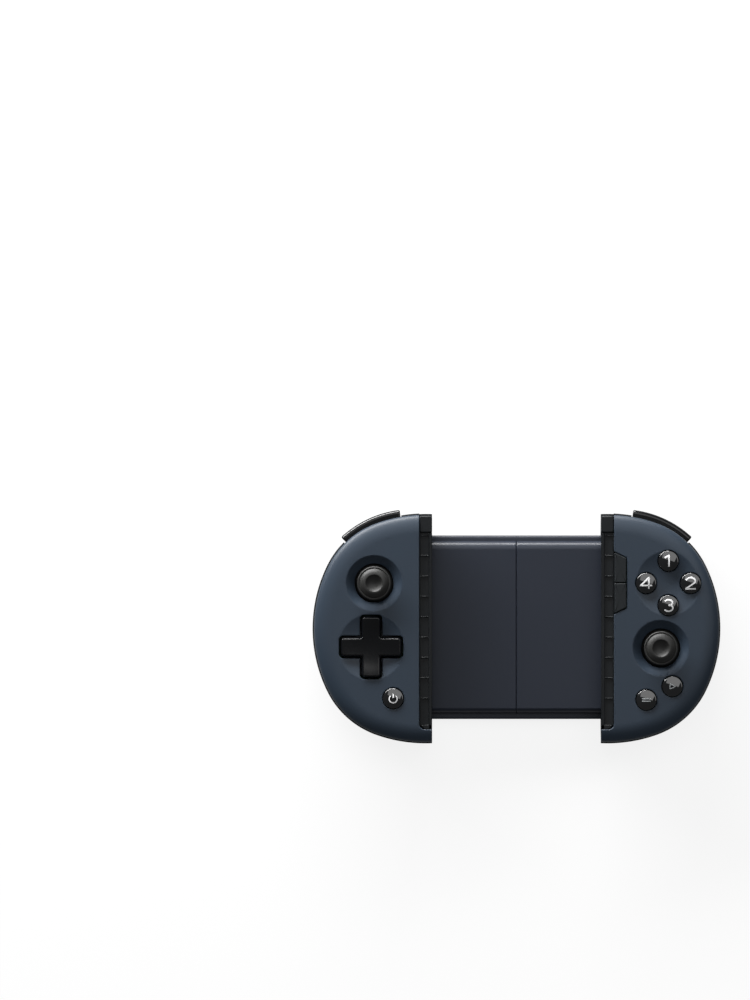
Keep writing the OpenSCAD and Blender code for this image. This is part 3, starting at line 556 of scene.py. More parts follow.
# Moulded silicone-coated rubber of the stick caps: dull charcoal.
CAP = Moulded("matt_cap_rubber", "#282827", "#242423", 0.5, 0.05, 0.3, 0.012)
# Moulded rubber of the jaws' pads: near black, with hardly a highlight.
RUBBER = Moulded("soft_pad_rubber", "#161718", "#131415", 0.7, 0.05, 0.5, 0.02)
# Pad-printed ink on the face and home buttons: plain white.
INK = Moulded("white_pad_print_ink", "#ffffff", "#fbfcfd", 0.4, 0.03, 0.3, 0.002)
# Pad-printed ink on the menu buttons: a thin grey that stays in the background.
FAINT_INK = Moulded("grey_pad_print_ink", "#b4b9bb", "#aeb3b5", 0.45, 0.03, 0.3, 0.002)
# Solder mask on the boards: green, half glossy.
SOLDER_MASK = Moulded("green_solder_mask", "#1f5a3c", "#1c5237", 0.35, 0.05, 1.5, 0.01)
# Moulded silicone of the button membranes: a dull mid grey.
SILICONE = Moulded("grey_silicone", "#8a8f94", "#84898e", 0.55, 0.05, 0.6, 0.01)
# Shrink wrap of the battery: blue, a little creased.
FOIL = Moulded("blue_cell_wrap", "#3a4a66", "#35445e", 0.35, 0.05, 3.0, 0.02)
# Glass-filled nylon of the stick housings: black and dry.
MODULE = Moulded("black_nylon", "#2a2a2c", "#262628", 0.55, 0.05, 0.5, 0.01)
# Natural acetal of the gimbal rings and the cross pad's post: a waxy off-white.
ACETAL = Moulded("natural_acetal", "#d8d4c8", "#d2cec2", 0.4, 0.04, 0.6, 0.006)
# Polyimide film of the ribbon cables: smooth amber.
FILM = Moulded("amber_polyimide_film", "#b86a2a", "#ad6226", 0.25, 0.05, 1.0, 0.004)
# Drawn steel of pins, screws and springs: bright, with fine lines along X.
STEEL = DrawnSteel("drawn_steel", "#b9bdc2", 0.3, 0.15, 0)


# Shapes of a handle


@dataclass(frozen=True)
class Outline:
    """Plan of a handle: three tangent arcs a side, for the outer side, the corner and the flatter top."""

    out: float = 91.1
    half: float = 51.1
    side_r: float = 63.5
    side_deg: float = 26.3
    corner_r: float = 38.4
    corner_deg: float = 70.5
    inner_x: float = 38.0

    @property
    def arcs(self) -> tuple[Array, Array, Array]:
        """Centres, radii and end angles (radians) of the three arcs."""
        turn = np.radians([self.side_deg, self.corner_deg])
        side = np.array([self.out - self.side_r, 0.0])
        corner = side + (self.side_r - self.corner_r) * np.array([np.cos(turn[0]), np.sin(turn[0])])
        top_r = (self.half - corner[1] - self.corner_r * np.sin(turn[1])) / (1 - np.sin(turn[1]))
        top = corner - (top_r - self.corner_r) * np.array([np.cos(turn[1]), np.sin(turn[1])])
        end = np.arccos((self.inner_x - top[0]) / top_r)
        radii = np.array([self.side_r, self.corner_r, top_r])
        return np.stack([side, corner, top]), radii, np.append(turn, end)

    def ring(self, n: int) -> tuple[Array, Array, Array]:
        """Even steps round the outline, from the lower inner end to the upper one.

        Args:
            n: Number of steps.

        Returns:
            Arc centre, arc radius and outward normal at each step.
        """
        centres, radii, ends = self.arcs
        starts = np.append(0, ends[:-1])
        lengths = np.append(0, np.cumsum(radii * (ends - starts)))
        s = np.linspace(-lengths[-1], lengths[-1], n)
        arc = np.clip(np.searchsorted(lengths, np.abs(s), side="right") - 1, 0, 2)
        angle = starts[arc] + (np.abs(s) - lengths[arc]) / radii[arc]
        fold = np.stack([np.ones(n), np.where(s < 0, -1.0, 1.0)], -1)
        return centres[arc] * fold, radii[arc], np.stack([np.cos(angle), np.sin(angle)], -1) * fold

    def depth(self, x: Array, y: Array) -> Array:
        """Distance in from the outline at a point."""
        centres, radii, ends = self.arcs
        p = np.stack([x, np.abs(y)], -1)
        away = [p - c for c in centres]
        angle = [np.arctan2(a[..., 1], a[..., 0]) for a in away]
        inset = [r - np.linalg.norm(a, axis=-1) for a, r in zip(away, radii)]
        return np.where(angle[0] < ends[0], inset[0], np.where(angle[1] < ends[1], inset[1], inset[2]))


@dataclass(frozen=True)
class KeyArc:
    """The arc that the shoulder keys follow, and the opening they sit in."""

    x: float = 47.0826
    y: float = 6.98445
    r: float = 43.4671
    from_deg: float = 46.0414
    to_deg: float = 83.7695
    depth: float = 8.0

    def points(self, degrees: Array, out: Array) -> Array:
        """Plan points at angles along the arc and distances outside it."""
        a = np.radians(degrees)
        return np.stack([self.x + (self.r + out) * np.cos(a), self.y + (self.r + out) * np.sin(a)], -1)

    def gap(self, p: Array) -> Array:
        """Signed distance to the sides of the opening, negative within its angles and depth."""
        dx, dy = p[..., 0] - self.x, p[..., 1] - self.y
        angle = np.degrees(np.arctan2(dy, dx))
        per_deg = self.r * np.pi / 180
        ends = np.maximum(self.from_deg - angle, angle - self.to_deg) * per_deg
        return np.maximum(ends, self.r - self.depth - np.hypot(dx, dy))


@dataclass(frozen=True)
class Dish:
    """A spherical hollow in the face, with its rim rounded over."""

    x: float
    y: float
    ball_r: float
    ball_z: float
    blend: float

    def floor(self, x: Array, y: Array) -> Array:
        """Height of the hollow at a point; far above the face where the ball doesn't reach."""
        square = self.ball_r**2 - (x - self.x) ** 2 - (y - self.y) ** 2
        return np.where(square > 0, self.ball_z - np.sqrt(np.maximum(square, 0)), FAR)

    def lower(self, z: Array, x: Array, y: Array) -> Array:
        """The lesser of a height and the hollow, with a smooth turn between them."""
        return smooth_min(z, self.floor(x, y), self.blend)


@dataclass(frozen=True)
class Hole:
    """A hole through the face: its signed distance, and its edge."""

    gap: Callable[[Array, Array], Array]
    edge: tuple[Array, Array]
    closed: bool = True
    round_over: float = 0.3
    deep: float = 2.4


def round_hole(x: float, y: float, r: float, round_over: float = 0.3) -> Hole:
    """A circular hole.

    Args:
        x: Centre.
        y: Centre.
        r: Radius.
        round_over: Radius of its edge.

    Returns:
        The hole.
    """
    a = np.linspace(0, 2 * np.pi, 120, endpoint=False)
    normal = np.stack([np.cos(a), np.sin(a)], -1)
    edge = (np.array([x, y]) + r * normal, normal)
    return Hole(lambda u, v: np.hypot(u - x, v - y) - r, edge, True, round_over)


def round_corner(u: Array, v: Array, r: float) -> Array:
    """Signed distance to a rounded corner, from how far a point lies past the centre of its round."""
    return np.hypot(np.maximum(u, 0), np.maximum(v, 0)) + np.minimum(np.maximum(u, v), 0) - r


def rounded_box(u: Array, v: Array, half_u: float, half_v: float, r: float) -> Array:
    """Signed distance to a rectangle with rounded corners about the origin."""
    return round_corner(np.abs(u) - half_u + r, np.abs(v) - half_v + r, r)


def cross_corners(x: float, y: float, length: float, width: float) -> list[Spot]:
    """The twelve corners of a cross, counter-clockwise: three corners of an arm, turned by quarters."""
    a, b = length / 2, width / 2
    plan = [(a, -b), (a, b), (b, b)]
    for _ in range(3):
        plan += [(-v, u) for u, v in plan[-3:]]
    return [(x + u, y + v) for u, v in plan]


def cross_radii(outer: float, inner: float) -> list[float]:
    """Corner radii of a cross, in the order of its corners."""
    return [outer, outer, inner] * 4


def cross_gap(u: Array, v: Array, length: float, width: float, r: float) -> Array:
    """Signed distance to a cross about the origin: the nearer of its two bars."""
    bars = (rounded_box(u, v, p / 2, q / 2, r) for p, q in ((length, width), (width, length)))
    return np.minimum(*bars)


@dataclass
class Handle:
    """One handle's shells: a smooth front with dishes and holes, and a rolled back.

    The back's rim stands proud of the outline, and its skin a hair over the solid that it covers.
    """

    side: Side
    dishes: list[Dish]
    holes: list[Hole]
    outline: Outline = field(default_factory=Outline)
    key: KeyArc = field(default_factory=KeyArc)
    face_z: float = FACE_Z
    seam_z: float = 13.0
    face_roll: float = 8.0
    face_drop: float = 3.1
    back_roll: float = 12.0
    rim_proud: float = 0.65
    over_solid: float = 0.03
    opening_z: float = 17.5
    opening_low: float = 2.4
    opening_wall: float = 5.0
    jaw_out: float = 43.8
    jaw_low: float = -45.4
    jaw_high: float = 50.9
    jaw_base: float = 9.4
    jaw_corner_r: float = 2.5
    screws: tuple[Spot, ...] = ((84, 14), (79, -25), (46.8, 45), (46.8, -43.8))
    screw_r: float = 2.1
    screw_z: float = 7.0
    port_at: Spot = (57.0, 9.02)
    port_half: Spot = (4.72, 1.83)
    port_r: float = 1.82
    steps_round: int = 460
    steps_in: int = 115

    def height(self, x: Array, y: Array) -> Array:
        """Height of the front face: an elliptical roll at its edge, then flat, less the dishes.

        Args:
            x: Points across.
            y: Points up.

        Returns:
            The height at each point.
        """
        share = np.clip(1 - self.outline.depth(x, y) / self.face_roll, 0, 1)
        z = self.face_z - self.face_drop * (1 - np.sqrt(1 - share**2))
        for dish in self.dishes:
            z = dish.lower(z, x, y)
        return z

    def jaw_gap(self, x: Array, y: Array) -> Array:
        """Signed distance to the room that the jaw takes, with its round lower corner."""
        r = self.jaw_corner_r
        return round_corner(x - self.jaw_out + r, self.jaw_low + r - y, r)

    def spread(self, rows: Array, inset: float) -> Array:
        """Grid over a shell: rows that follow the outline, then straight lines to the inner edge.

        Args:
            rows: Pairs (inset, height), from the seam to the end of the roll.
            inset: Inset of the last row.

        Returns:
            Grid of points, round the outline and then inwards.
        """
        centre, radius, normal = self.outline.ring(self.steps_round)
        rolled = centre[:, None] + (radius[:, None] - rows[None, :, 0])[..., None] * normal[:, None]
        last = centre + (radius - inset)[:, None] * normal
        up = np.linspace(last[0, 1], last[-1, 1], len(last))
        spine = np.stack([np.full(len(last), self.outline.inner_x), up], -1)
        share = np.linspace(0, 1, self.steps_in + 1)[None, 1:, None]
        flat = last[:, None] * (1 - share) + spine[:, None] * share
        plan = np.concatenate([rolled, flat], 1)
        height = np.append(rows[:, 1], np.full(self.steps_in, rows[-1, 1]))
        return np.concatenate([plan, np.broadcast_to(height[None, :, None], plan.shape[:2] + (1,))], -1)

    def front(self) -> list[Part]:
        """The front skin with its hole edges, the shoulder opening's reveal and the end at the jaw.

        The skirt's rows are pairs (inset, height): a small round at the seam, then rows close below and
        above the opening's upper edge. The roll is a quarter of an ellipse.

        Returns:
            The parts, in handle coordinates.
        """
        low, top = self.seam_z, self.opening_z
        skirt = [(0.9, low), (0.25, low), (0.07, low + 0.07), (0, low + 0.25)]
        skirt += [(0, low + 2), (0, top - 0.8), (0, top), (0, top + 0.8)]
        roll = np.radians(np.linspace(0, 90, 19))
        inset, drop = self.face_roll * (1 - np.cos(roll)), self.face_drop * (1 - np.sin(roll))
        arc = np.stack([inset, self.face_z - drop], -1)
        grid = self.spread(np.concatenate([skirt, arc]), self.face_roll)
        x, y = grid[..., 0], grid[..., 1]
        first = len(skirt) + 2
        grid[:, first:, 2] = self.height(x[:, first:], y[:, first:])
        gap = np.maximum(self.key.gap(grid), grid[..., 2] - self.opening_z)
        for hole in self.holes:
            gap = np.minimum(gap, hole.gap(x, y) - hole.round_over)
        parts = [trimmed_grid(grid, gap)]
        parts += [self.hole_edge(hole) for hole in self.holes]
        return parts + self.reveal() + [self.end_cap()]

    def hole_edge(self, hole: Hole) -> Part:
        """Edge of a hole: a lap over the face, a quarter round from it, then a wall down.

        Args:
            hole: The hole.

        Returns:
            The edge.
        """
        points, normal = hole.edge
        lap = 0.25
        turn = np.linspace(0, np.pi / 2, 6)
        away = np.concatenate([[hole.round_over + lap], hole.round_over * (1 - np.sin(turn)), [0]])
        drop = np.concatenate([[0], hole.round_over * (1 - np.cos(turn)), [hole.deep]])
        start = points + normal * hole.round_over
        top = self.height(start[:, 0], start[:, 1])
        plan = points[:, None] + normal[:, None] * away[None, :, None]
        height = top[:, None] - drop[None]
        height[:, 0] = self.height(plan[:, 0, 0], plan[:, 0, 1]) + HAIR
        return grid_part(np.concatenate([plan, height[..., None]], -1), hole.closed)

    def reveal(self) -> list[Part]:
        """Thickness of the front shell round the shoulder opening: its upper edge and two ends.

        Returns:
            Three strips.
        """

        def strip(degrees: Array, z: Array, edge: float) -> list[Array]:
            """Points of a strip beside the outer surface, and at the depth of the wall."""
            outs = (np.full(len(z), out) for out in (edge, -self.opening_wall))
            return [np.append(self.key.points(degrees, out), z[:, None], 1) for out in outs]

        ends = (self.key.from_deg, self.key.to_deg)
        strips = [strip(np.linspace(*ends, 60), np.full(60, self.opening_z), -0.15)]
        z = np.linspace(self.seam_z, self.opening_z, 12)
        start, stop = (strip(np.full(12, degree), z, -0.1) for degree in ends)
        strips += [start[::-1], stop]
        return [grid_part(np.stack(s, 1)) for s in strips]

    def end_cap(self) -> Part:
        """Flat end of the lower corner beside the jaw."""
        n, lap = 40, 0.3
        y = np.linspace(-self.outline.half, self.jaw_low - lap, n)
        x = np.full(n, self.outline.inner_x)
        rows = [np.stack([x, y, z], -1) for z in (self.height(x, y), np.full(n, self.seam_z))]
        return grid_part(np.stack(rows, 1), flip=True)

    def rear(self) -> list[Part]:
        """The rear skin: a proud rim, a wide roll and the flat back, a hair outside the faceted solid.

        Returns:
            The skin, in handle coordinates.
        """
        over, seam = -self.rim_proud - self.over_solid, self.seam_z
        lip = seam + 0.02
        rim = [(0.5, lip), (over + 0.25, lip), (over + 0.07, seam - 0.05), (over, seam - 0.23)]
        roll = np.radians(np.linspace(0, 90, 25))
        inset, rise = self.back_roll * (1 - np.cos(roll)), self.back_roll * (1 - np.sin(roll))
        arc = np.stack([over + inset, rise - self.over_solid], -1)
        grid = self.spread(np.concatenate([rim, arc]), over + self.back_roll)
        x, y, z = grid[..., 0], grid[..., 1], grid[..., 2]
        gap = np.maximum(self.key.gap(grid), self.opening_low - z)
        gap = np.minimum(gap, np.maximum(self.jaw_gap(x, y), self.jaw_base - z))
        for at in self.screws:
            screw = np.hypot(x - at[0], y - at[1]) - self.screw_r
            gap = np.minimum(gap, np.where(z < self.screw_z, screw, FAR))
        if self.side is Side.RIGHT:
            port = rounded_box(x - self.port_at[0], z - self.port_at[1], *self.port_half, self.port_r)
            gap = np.minimum(gap, np.where(y < 0, port, FAR))
        return [trimmed_grid(grid, gap, flip=True)]

    def dress(self, slate: bpy.types.Material, charcoal: bpy.types.Material) -> None:
        """Makes the handle's two pieces.

        Args:
            slate: Finish of the front.
            charcoal: Finish of the back.
        """
        side = self.side
        front, rear = mirrored(self.front(), side), mirrored(self.rear(), side)
        piece = make_piece(side.node("front_skin"), front, side.body, slate)
        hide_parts(side.node("front_shell"))
        make_piece(side.node("rear_skin"), rear, side.body, charcoal)


@dataclass(frozen=True)
class SideNotch:
    """The notch in the face's inner edge that the side keys sit in: a trapezoid with slanted ends."""

    x: float = 43.8
    low: float = 6.35
    high: float = 34.65
    slant: float = 2.8
    deep: float = 5.8
    lap: float = 0.8
    radii: tuple[float, ...] = (0.3, 0.5, 0.5, 0.3)

    def corners(self) -> list[Spot]:
        """Its corners, going up."""
        far, low, high = self.x + self.deep, self.low + self.slant, self.high - self.slant
        return [(self.x, self.low), (far, low), (far, high), (self.x, self.high)]

    def gap(self, x: Array, y: Array) -> Array:
        """Signed distance to the notch: the greatest of its four sides."""
        slope = np.array([self.slant, self.deep]) / math.hypot(self.slant, self.deep)
        low = slope[0] * (x - self.x) - slope[1] * (y - self.low)
        high = slope[0] * (x - self.x) + slope[1] * (y - self.high)
        sides = np.maximum(x - self.x - self.deep, self.x - self.lap - x)
        return np.maximum(np.maximum(low, high), sides)


def jaw_hole(handle: Handle, notch: SideNotch | None) -> Hole:
    """The cut along the jaw, with the side keys' notch where there is one.

    Args:
        handle: The handle.
        notch: The notch, on the right handle.

    Returns:
        The cut, whose edge goes up.
    """
    corners = [(handle.outline.inner_x, handle.jaw_low), (handle.jaw_out, handle.jaw_low)]
    radii = [0.0, handle.jaw_corner_r]
    gap = handle.jaw_gap
    if notch:
        corners += notch.corners()
        radii += notch.radii
        gap = lambda u, v: np.minimum(handle.jaw_gap(u, v), notch.gap(u, v))
    edge = rounded_path(corners + [(handle.jaw_out, handle.jaw_high)], radii + [0.0], False)
    return Hole(gap, edge, False, round_over=0.3, deep=4.0)


# Controls


@dataclass(frozen=True)
class Thumbstick:
    """A stick cap: a rubber disc with a ringed top and a dimple, on a neck and a dome."""

    side: Side
    pivot_z: float = 15.2
    top_z: float = 30.0
    r: float = 7.6
    dome_r: float = 9.6
    dome_deg: Spot = (8.0, 66.0)
    # Neck and underside: radius, and distance below the top.
    neck: tuple[Spot, ...] = ((3.8, 5.6), (3.8, 4.2), (4.1, 3.6), (4.8, 3.25), (6.4, 3.15))
    # The disc's edge, its bead and the groove inside that: distance in, and distance below the top.
    edge: tuple[Spot, ...] = (
        (0.5, 3.1), (0.15, 2.95), (0, 2.6), (0, 1.9), (0.05, 1.66), (0.18, 1.46), (0.38, 1.34),
        (0.6, 1.32), (0.76, 1.4), (0.86, 1.52), (0.96, 1.52), (1.04, 1.4), (1.1, 1.24),
    )
    crown_r: float = 3.95
    crown_power: float = 0.9
    # Lip of the dimple: radius, and distance below the top.
    lip: tuple[Spot, ...] = ((3.85, 0.02), (3.76, 0.09), (3.7, 0.2))
    dimple_r: float = 3.68
    dimple_deg: float = 35.0
    dimple_drop: float = 0.24

    def parts(self) -> list[Part]:
        """The turned cap: a dome, the neck, the edge, the crown, the lip and the dimple.

        The crown rises on a sine, and the dimple is part of a ball.

        Returns:
            Its surface, in handle coordinates.
        """
        lift = np.radians(np.linspace(*self.dome_deg, 24))
        dome = np.stack([self.dome_r * np.cos(lift), self.pivot_z + self.dome_r * np.sin(lift)], -1)
        neck, lip = (np.array(p) * [1, -1] + [0, self.top_z] for p in (self.neck, self.lip))
        edge = np.array([self.r, self.top_z]) - self.edge
        x, z = edge[-1]
        share = np.linspace(0, 1, 12)[1:]
        rise = np.sin(share * np.pi / 2) ** self.crown_power
        crown = np.stack([x + (self.crown_r - x) * share, z + (self.top_z - z) * rise], -1)
        dip = np.radians(np.linspace(self.dimple_deg, 0, 14))
        ball = self.dimple_r / np.sin(dip[0])
        sunk = self.top_z - self.dimple_drop + ball * (np.cos(dip[0]) - np.cos(dip))
        dimple = np.stack([ball * np.sin(dip), sunk], -1)
        return [lathe(np.concatenate([dome, neck, edge, crown, lip, dimple]), STICK_AT[self.side])]

    def dress(self, rubber: bpy.types.Material) -> None:
        """Makes the cap's piece."""
        side, parts = self.side, mirrored(self.parts(), self.side)
        piece = make_piece(side.node("cap"), parts, side.node("stick"), rubber)
        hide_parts(side.node("stick_cap"))


@dataclass(frozen=True)
class CrossPad:
    """The cross pad: four arms that dip to the middle, with bevelled edges."""

    x: float = CROSS_AT[0]
    y: float = CROSS_AT[1]
    length: float = 27.6
    width: float = 8.8
    corner_r: float = 1.6
    inner_r: float = 0.5
    top_z: float = 25.1
    dip: float = 0.6
    hollow_r: float = 130.0
    blend: float = 0.3
    bevel: float = 1.0
    edge_r: float = 0.45
    # Bevel and wall: distance in from the side, and distance below the top.
    side_rows: tuple[Spot, ...] = ((0.25, 1.15), (0.1, 1.55), (0.02, 1.9), (0.0, 2.3), (0.0, 4.7))

    def top(self, x: Array, y: Array) -> Array:
        """Height of the top: a shallow bowl that runs out before the ends of the arms."""
        square = (x - self.x) ** 2 + (y - self.y) ** 2
        bowl = self.top_z - self.dip + square / (2 * self.hollow_r)
        return smooth_min(bowl, np.array(self.top_z), self.blend)

    def parts(self) -> list[Part]:
        """The top, and the bevel and wall round it.

        Returns:
            The parts, in handle coordinates.
        """
        reach = np.linspace(-self.length / 2, self.length / 2, 120)
        u, v = np.meshgrid(reach, reach, indexing="ij")
        x, y = self.x + u, self.y + v
        inside = -(cross_gap(u, v, self.length, self.width, self.corner_r) + self.bevel)
        top = trimmed_grid(np.stack([x, y, self.top(x, y)], -1), inside)
        corners = cross_corners(self.x, self.y, self.length, self.width)
        points, normal = rounded_path(corners, cross_radii(self.corner_r, self.inner_r), True, 0.25)
        turn = np.radians(np.linspace(0, 68, 8))
        edge = np.stack([self.bevel - self.edge_r * np.sin(turn), self.edge_r * (1 - np.cos(turn))], -1)
        lap = (self.bevel + 0.15, -HAIR)
        rows = np.concatenate([[lap], edge, self.side_rows])
        plan = points[:, None] - normal[:, None] * rows[None, :, :1]
        start = points - normal * self.bevel
        height = self.top(start[:, 0], start[:, 1])[:, None] - rows[None, :, 1]
        wall = grid_part(np.concatenate([plan, height[..., None]], -1), True, flip=True)
        return [top, wall]

    def dress(self, black: bpy.types.Material) -> None:
        """Makes the pad's piece."""
        parts = mirrored(self.parts(), Side.LEFT)
        piece = make_piece("cross_top", parts, "cross_pad", black, crease=50)
        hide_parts("cross_pad")


class Mark(Enum):
    """Generic signs printed on the buttons, as strokes in units of half their height."""

    ONE = "one"
    TWO = "two"
    THREE = "three"
    FOUR = "four"
    RUN = "run"
    BAR = "bar"
    POWER = "power"

    def strokes(self) -> list[Array]:
        """The sign's strokes as finely stepped paths."""

        def arc(x: float, y: float, r: float, a0: float, a1: float) -> Array:
            """An arc between two angles in degrees."""
            a = np.radians(np.linspace(a0, a1, 24))
            return np.stack([x + r * np.cos(a), y + r * np.sin(a)], -1)

        lines = {
            Mark.ONE: [[(-0.5, 0.55), (0.08, 1.0), (0.08, -1.0)]],
            Mark.TWO: [np.concatenate([arc(0, 0.4, 0.6, 170, -35), [(-0.65, -1.0), (0.68, -1.0)]])],
            Mark.THREE: [np.concatenate([arc(0, 0.5, 0.52, 150, -80), arc(0, -0.45, 0.58, 80, -150)])],
            Mark.FOUR: [[(0.35, -1.0), (0.35, 1.0), (-0.72, -0.4), (0.8, -0.4)]],
            Mark.RUN: [[(-0.6, 0.75), (0.75, 0.0), (-0.6, -0.75), (-0.6, 0.75)]],
            Mark.BAR: [[(-0.9, 0.35), (0.9, 0.35)], [(-0.9, -0.35), (0.9, -0.35)]],
            Mark.POWER: [arc(0, -0.1, 0.85, 130, 410), [(0, 1.0), (0, 0.1)]],
        }[self]
        return [self.even(np.array(line, float)) for line in lines]

    @staticmethod
    def even(line: Array) -> Array:
        """Steps a polyline evenly."""
        along = np.append(0, np.cumsum(np.linalg.norm(np.diff(line, axis=0), axis=1)))
        at = np.linspace(0, along[-1], max(int(along[-1] / 0.05), 4))
        return np.stack([np.interp(at, along, line[:, k]) for k in (0, 1)], -1)


@dataclass(frozen=True)
class RoundButton:
    """A polished round button with a crowned top, and the sign printed on it."""

    node: str
    side: Side
    at: Spot
    mark: Mark
    mark_half: float = 2.55
    mark_wide: float = 1.35
    stroke: float = 0.66
    ink_z: float = 0.03
    r: float = 4.55
    foot_z: float = 21.7
    edge_z: float = 24.4
    edge_r: float = 0.35
    edge_sink: float = 0.3255
    crown: float = 0.9

    def dome(self, rho: Array) -> Array:
        """Height of the crown at a distance from the middle: part of a ball."""
        ball = (self.r**2 + self.crown**2) / (2 * self.crown)
        return self.edge_z + self.crown - ball + np.sqrt(ball**2 - rho**2)

    def parts(self) -> list[Part]:
        """The turned button: a wall, a rounded edge and the crown.

        Returns:
            Its surface, in handle coordinates.
        """
        turn = np.radians(np.linspace(0, 68, 7))
        rho = np.linspace(self.r - self.edge_r, 0, 22)
        crown = np.stack([rho, self.dome(rho)], -1)
        middle = crown[0] - [0, self.edge_sink]
        edge = middle + self.edge_r * np.stack([np.cos(turn), np.sin(turn)], -1)
        return [lathe(np.concatenate([[(self.r, self.foot_z)], edge, crown]), self.at, 120)]

    def print_parts(self) -> list[Part]:
        """The printed sign, laid on the crown.

        Returns:
            One strip a stroke, in handle coordinates.
        """
        parts = []
        for path in self.mark.strokes():
            plan = stroke_strip(path * self.mark_half * [self.mark_wide, 1], self.stroke)
            plan = plan * [self.side.value, 1]
            height = self.dome(np.hypot(plan[..., 0], plan[..., 1])) + self.ink_z
            flat = np.concatenate([plan + self.at, height[..., None]], -1)
            parts.append(grid_part(flat, flip=self.side is Side.RIGHT))
        return parts

    def dress(self, gloss: bpy.types.Material, ink: bpy.types.Material) -> None:
        """Makes the button and its print.

        Args:
            gloss: Finish of the button.
            ink: Finish of the print.
        """
        top, sign = mirrored(self.parts(), self.side), mirrored(self.print_parts(), self.side)
        piece = make_piece(f"{self.node}_top", top, self.node, gloss)
        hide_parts(self.node)
        make_piece(f"{self.node}_mark", sign, self.node, ink)


@dataclass(frozen=True)
class ShoulderKey:
    """A satin bar that follows the corner: a rounded section carried along the key arc."""

    node: str
    side: Side
    degrees: Spot
    inside: float
    proud: float
    z0: float
    z1: float
    crown: float
    round_r: float = 1.5
    end_r: float = 0.7
    arc: KeyArc = field(default_factory=KeyArc)

    def parts(self) -> list[Part]:
        """The bar, with rounded ends.

        Each section is a rounded rectangle that bulges outwards by the crown; near an end its round is
        drawn in on a quarter circle. A point a hair past each corner's round keeps the flats flat.

        Returns:
            The closed bar, in handle coordinates.
        """
        start, stop = self.degrees
        per_deg = self.arc.r * np.pi / 180
        mm, r = (stop - start) * per_deg, self.end_r
        tail = r * (1 - np.cos(np.linspace(0, np.pi / 2, 7)))
        along = np.concatenate([tail, np.linspace(r, mm - r, 70)[1:-1], mm - tail[::-1]])
        near = np.clip(r - np.minimum(along, mm - along), 0, r)
        draw_in = r - np.sqrt(r**2 - near**2)
        quarter = np.concatenate([[0], np.linspace(0, 90, 9), [90]])
        past = np.concatenate([[-0.06], np.zeros(9), [0.06]])
        turn = np.radians((np.arange(4)[:, None] * 90 + quarter).ravel())
        unit = np.stack([np.cos(turn), np.sin(turn)], -1)
        half = np.array([self.proud + self.inside, self.z1 - self.z0]) / 2
        core = (half - self.round_r) * np.repeat([[1, 1], [-1, 1], [-1, -1], [1, -1]], len(quarter), 0)
        core = core + np.tile(past, 4)[:, None] * np.stack([-unit[:, 1], unit[:, 0]], -1)
        section = core[None] + (self.round_r - draw_in)[:, None, None] * unit[None]
        bulge = self.crown * (1 - (section[..., 1] / half[1]) ** 2) * (section[..., 0] > 0)
        out = section[..., 0] + bulge - self.crown + (self.proud - self.inside) / 2
        height = section[..., 1] + (self.z0 + self.z1) / 2
        degrees = np.broadcast_to((start + along / per_deg)[:, None], out.shape)
        ring = np.concatenate([self.arc.points(degrees, out), height[..., None]], -1)
        first, last = (np.broadcast_to(r.mean(1, keepdims=True), r.shape) for r in (ring[:1], ring[-1:]))
        return [grid_part(np.concatenate([first, ring, last]), close_v=True, flip=True)]

    def dress(self, satin: bpy.types.Material) -> None:
        """Makes the key's piece."""
        parts = mirrored(self.parts(), self.side)
        piece = make_piece(f"{self.node}_bar", parts, self.node, satin)
        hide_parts(self.node)


@dataclass(frozen=True)
class SideKey:
    """A trapezoid key beside the jaw."""

    node: str
    corners: tuple[Spot, ...]
    corner_r: float = 0.35
    fillet: float = 0.45
    z0: float = 18.0
    z1: float = 24.3

    def dress(self, plastic: bpy.types.Material) -> None:
        """Makes the key's piece."""
        plate = slab(self.corners, self.corner_r, self.z0, self.z1, self.fillet)
        parts = mirrored(plate, Side.RIGHT)
        piece = make_piece(f"{self.node}_top", parts, self.node, plastic)
        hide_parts(self.node)


SIDE_KEYS = (
    SideKey("upper_side_key", ((43.95, 20.625), (49.35, 20.625), (49.35, 31.6), (43.95, 34.3))),
    SideKey("lower_side_key", ((43.95, 6.7), (49.35, 9.4), (49.35, 20.375), (43.95, 20.375))),
)


# Jaws and bridge


